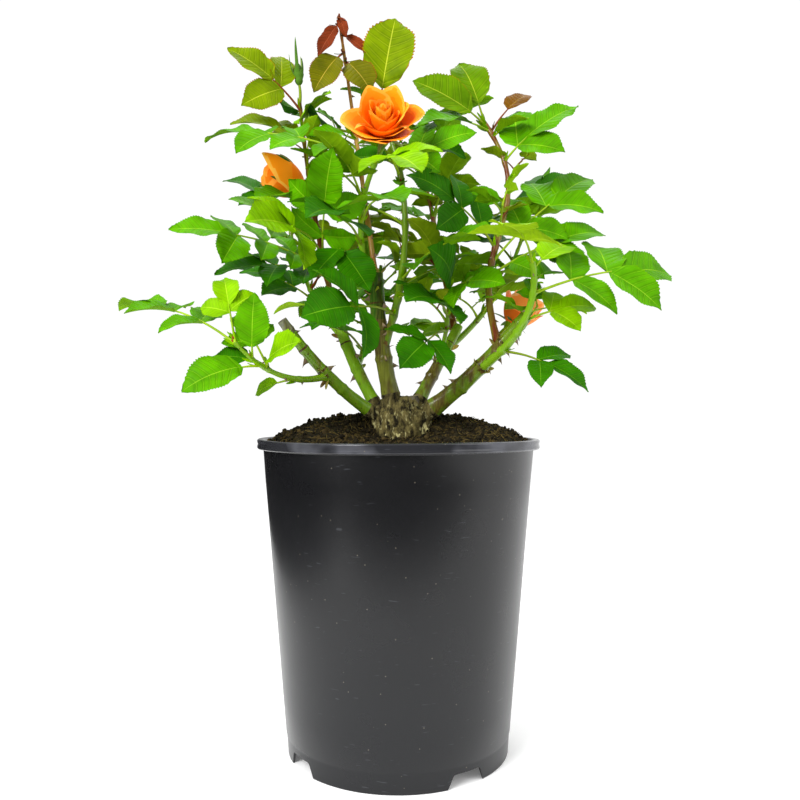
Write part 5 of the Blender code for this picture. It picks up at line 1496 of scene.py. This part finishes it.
def makeBlooms():
    # each bloom's stalk, hip and sepals as one piece, and its petals as another
    for name, flower in blooms.items():
        chance = random.Random(name)
        petals, greens = Heap(name + "_petals"), Heap(name + "_green")
        base, way = Vector(flower["base"]), Vector(flower["way"]).normalized()
        opens = Vector(flower["opens"]).normalized()
        path = shootPath(shoots[flower["shoot"]], twig["rings"])
        start, stemWay = along(path, flower["at"])
        if (base - start).length > flowerStalk["hip"]:
            middle = start.lerp(base, 0.5) + (stemWay - up) * flowerStalk["lift"]
            line = smoothed([start, middle, base + way], flowerStalk["rings"])
            radii = tapered(*flowerStalk["radii"], len(line))
            tubeInto(greens, line, radii, flowerStalk["sides"], "stalkGreen")
        hip = [base + way * (flowerStalk["lift"] + flowerStalk["hipDeep"] * a) for a, w in flowerStalk["hipShape"]]
        radii = [flowerStalk["hip"] * w for a, w in flowerStalk["hipShape"]]
        tubeInto(greens, hip, radii, flowerStalk["hipSides"], "stalkGreen")
        (lean, curl, long), count = flower["sepals"]
        for k in range(count):
            turn = 2 * math.pi * (k + 0.3) / count
            sepalInto(greens, base + way * 2.2, way, turn, lean, curl, long, chance)
        for row in flower["petals"]:
            petalInto(petals, Vector(flower["heart"]) + opens * 1.5, opens, row, chance)
        dress(petals.build(petalMaterials), "leaf_green", flower["shoot"])
        dress(greens.build(leafMaterials), "leaf_green", flower["shoot"])


def sepalInto(heap, base, way, turn, lean, curl, long, chance, slim=1.0):
    # a sepal: a narrow pointed blade that leaves the hip and turns back
    out = spoke(squareTo(Vector((1, 0.2, 0.3)), way), way, turn)
    side = way.cross(out)
    rows, u = sepal["rows"], np.array(sepal["columns"])
    v = np.linspace(0, 1, rows)
    angle = np.radians(lean + curl * v + chance.uniform(-8, 8))
    step = long / (rows - 1)
    r = sepal["foot"] + np.concatenate([[0], np.cumsum(np.sin(angle)[:-1] * step)])
    z = np.concatenate([[0], np.cumsum(np.cos(angle)[:-1] * step)])
    half = sepal["wide"] * slim * (1 - v) ** 0.75 * (0.75 + 0.6 * v) + 0.05
    cupped = sepal["cupped"] * half[:, None] * u[None, :] ** 2
    points = (np.array(base[:]) + (r[:, None] - cupped)[..., None] * np.array(out[:])
              + (half[:, None] * u[None, :])[..., None] * np.array(side[:]) + z[:, None, None] * np.array(way[:]))
    quads = sheetQuads(rows, len(u))
    heap.add(points, quads, "sepal")
    inward = np.array((-out)[:]) * sepal["thick"] + np.array(way[:]) * 0.2
    heap.add(points + inward, quads[:, ::-1], "sepalDown")


def makeGreenBud():
    # a closed bud on a short stalk, with its sepals still round it
    tip = shootPath(shoots[greenBud["shoot"]])[-1]
    way = Vector(greenBud["way"]).normalized()
    heap = Heap("green_bud")
    foot = tip + way * greenBud["stalk"]
    stalk = bowed(tip - way * 2, foot + way, Vector((0.6, 0, 0)), 8)
    tubeInto(heap, stalk, tapered(*greenBud["stalkRadii"], len(stalk)), flowerStalk["sides"], "stalkOlive")
    line = [foot + way * greenBud["deep"] * a for a, w in greenBud["shape"]]
    tubeInto(heap, line, [greenBud["radius"] * w for a, w in greenBud["shape"]], greenBud["sides"], "sepal")
    chance = random.Random("green bud")
    for k, (long, lean) in enumerate(greenBud["sepals"]):
        turn = 2 * math.pi * k / len(greenBud["sepals"]) + greenBud["turn"]
        sepalInto(heap, foot + way * greenBud["deep"] * 0.24, way, turn, lean, -lean * 1.5, long, chance,
                  greenBud["slim"])
    dress(heap.build(leafMaterials), "leaf_green", greenBud["shoot"])


makeFoliage()
makeBlooms()
makeGreenBud()
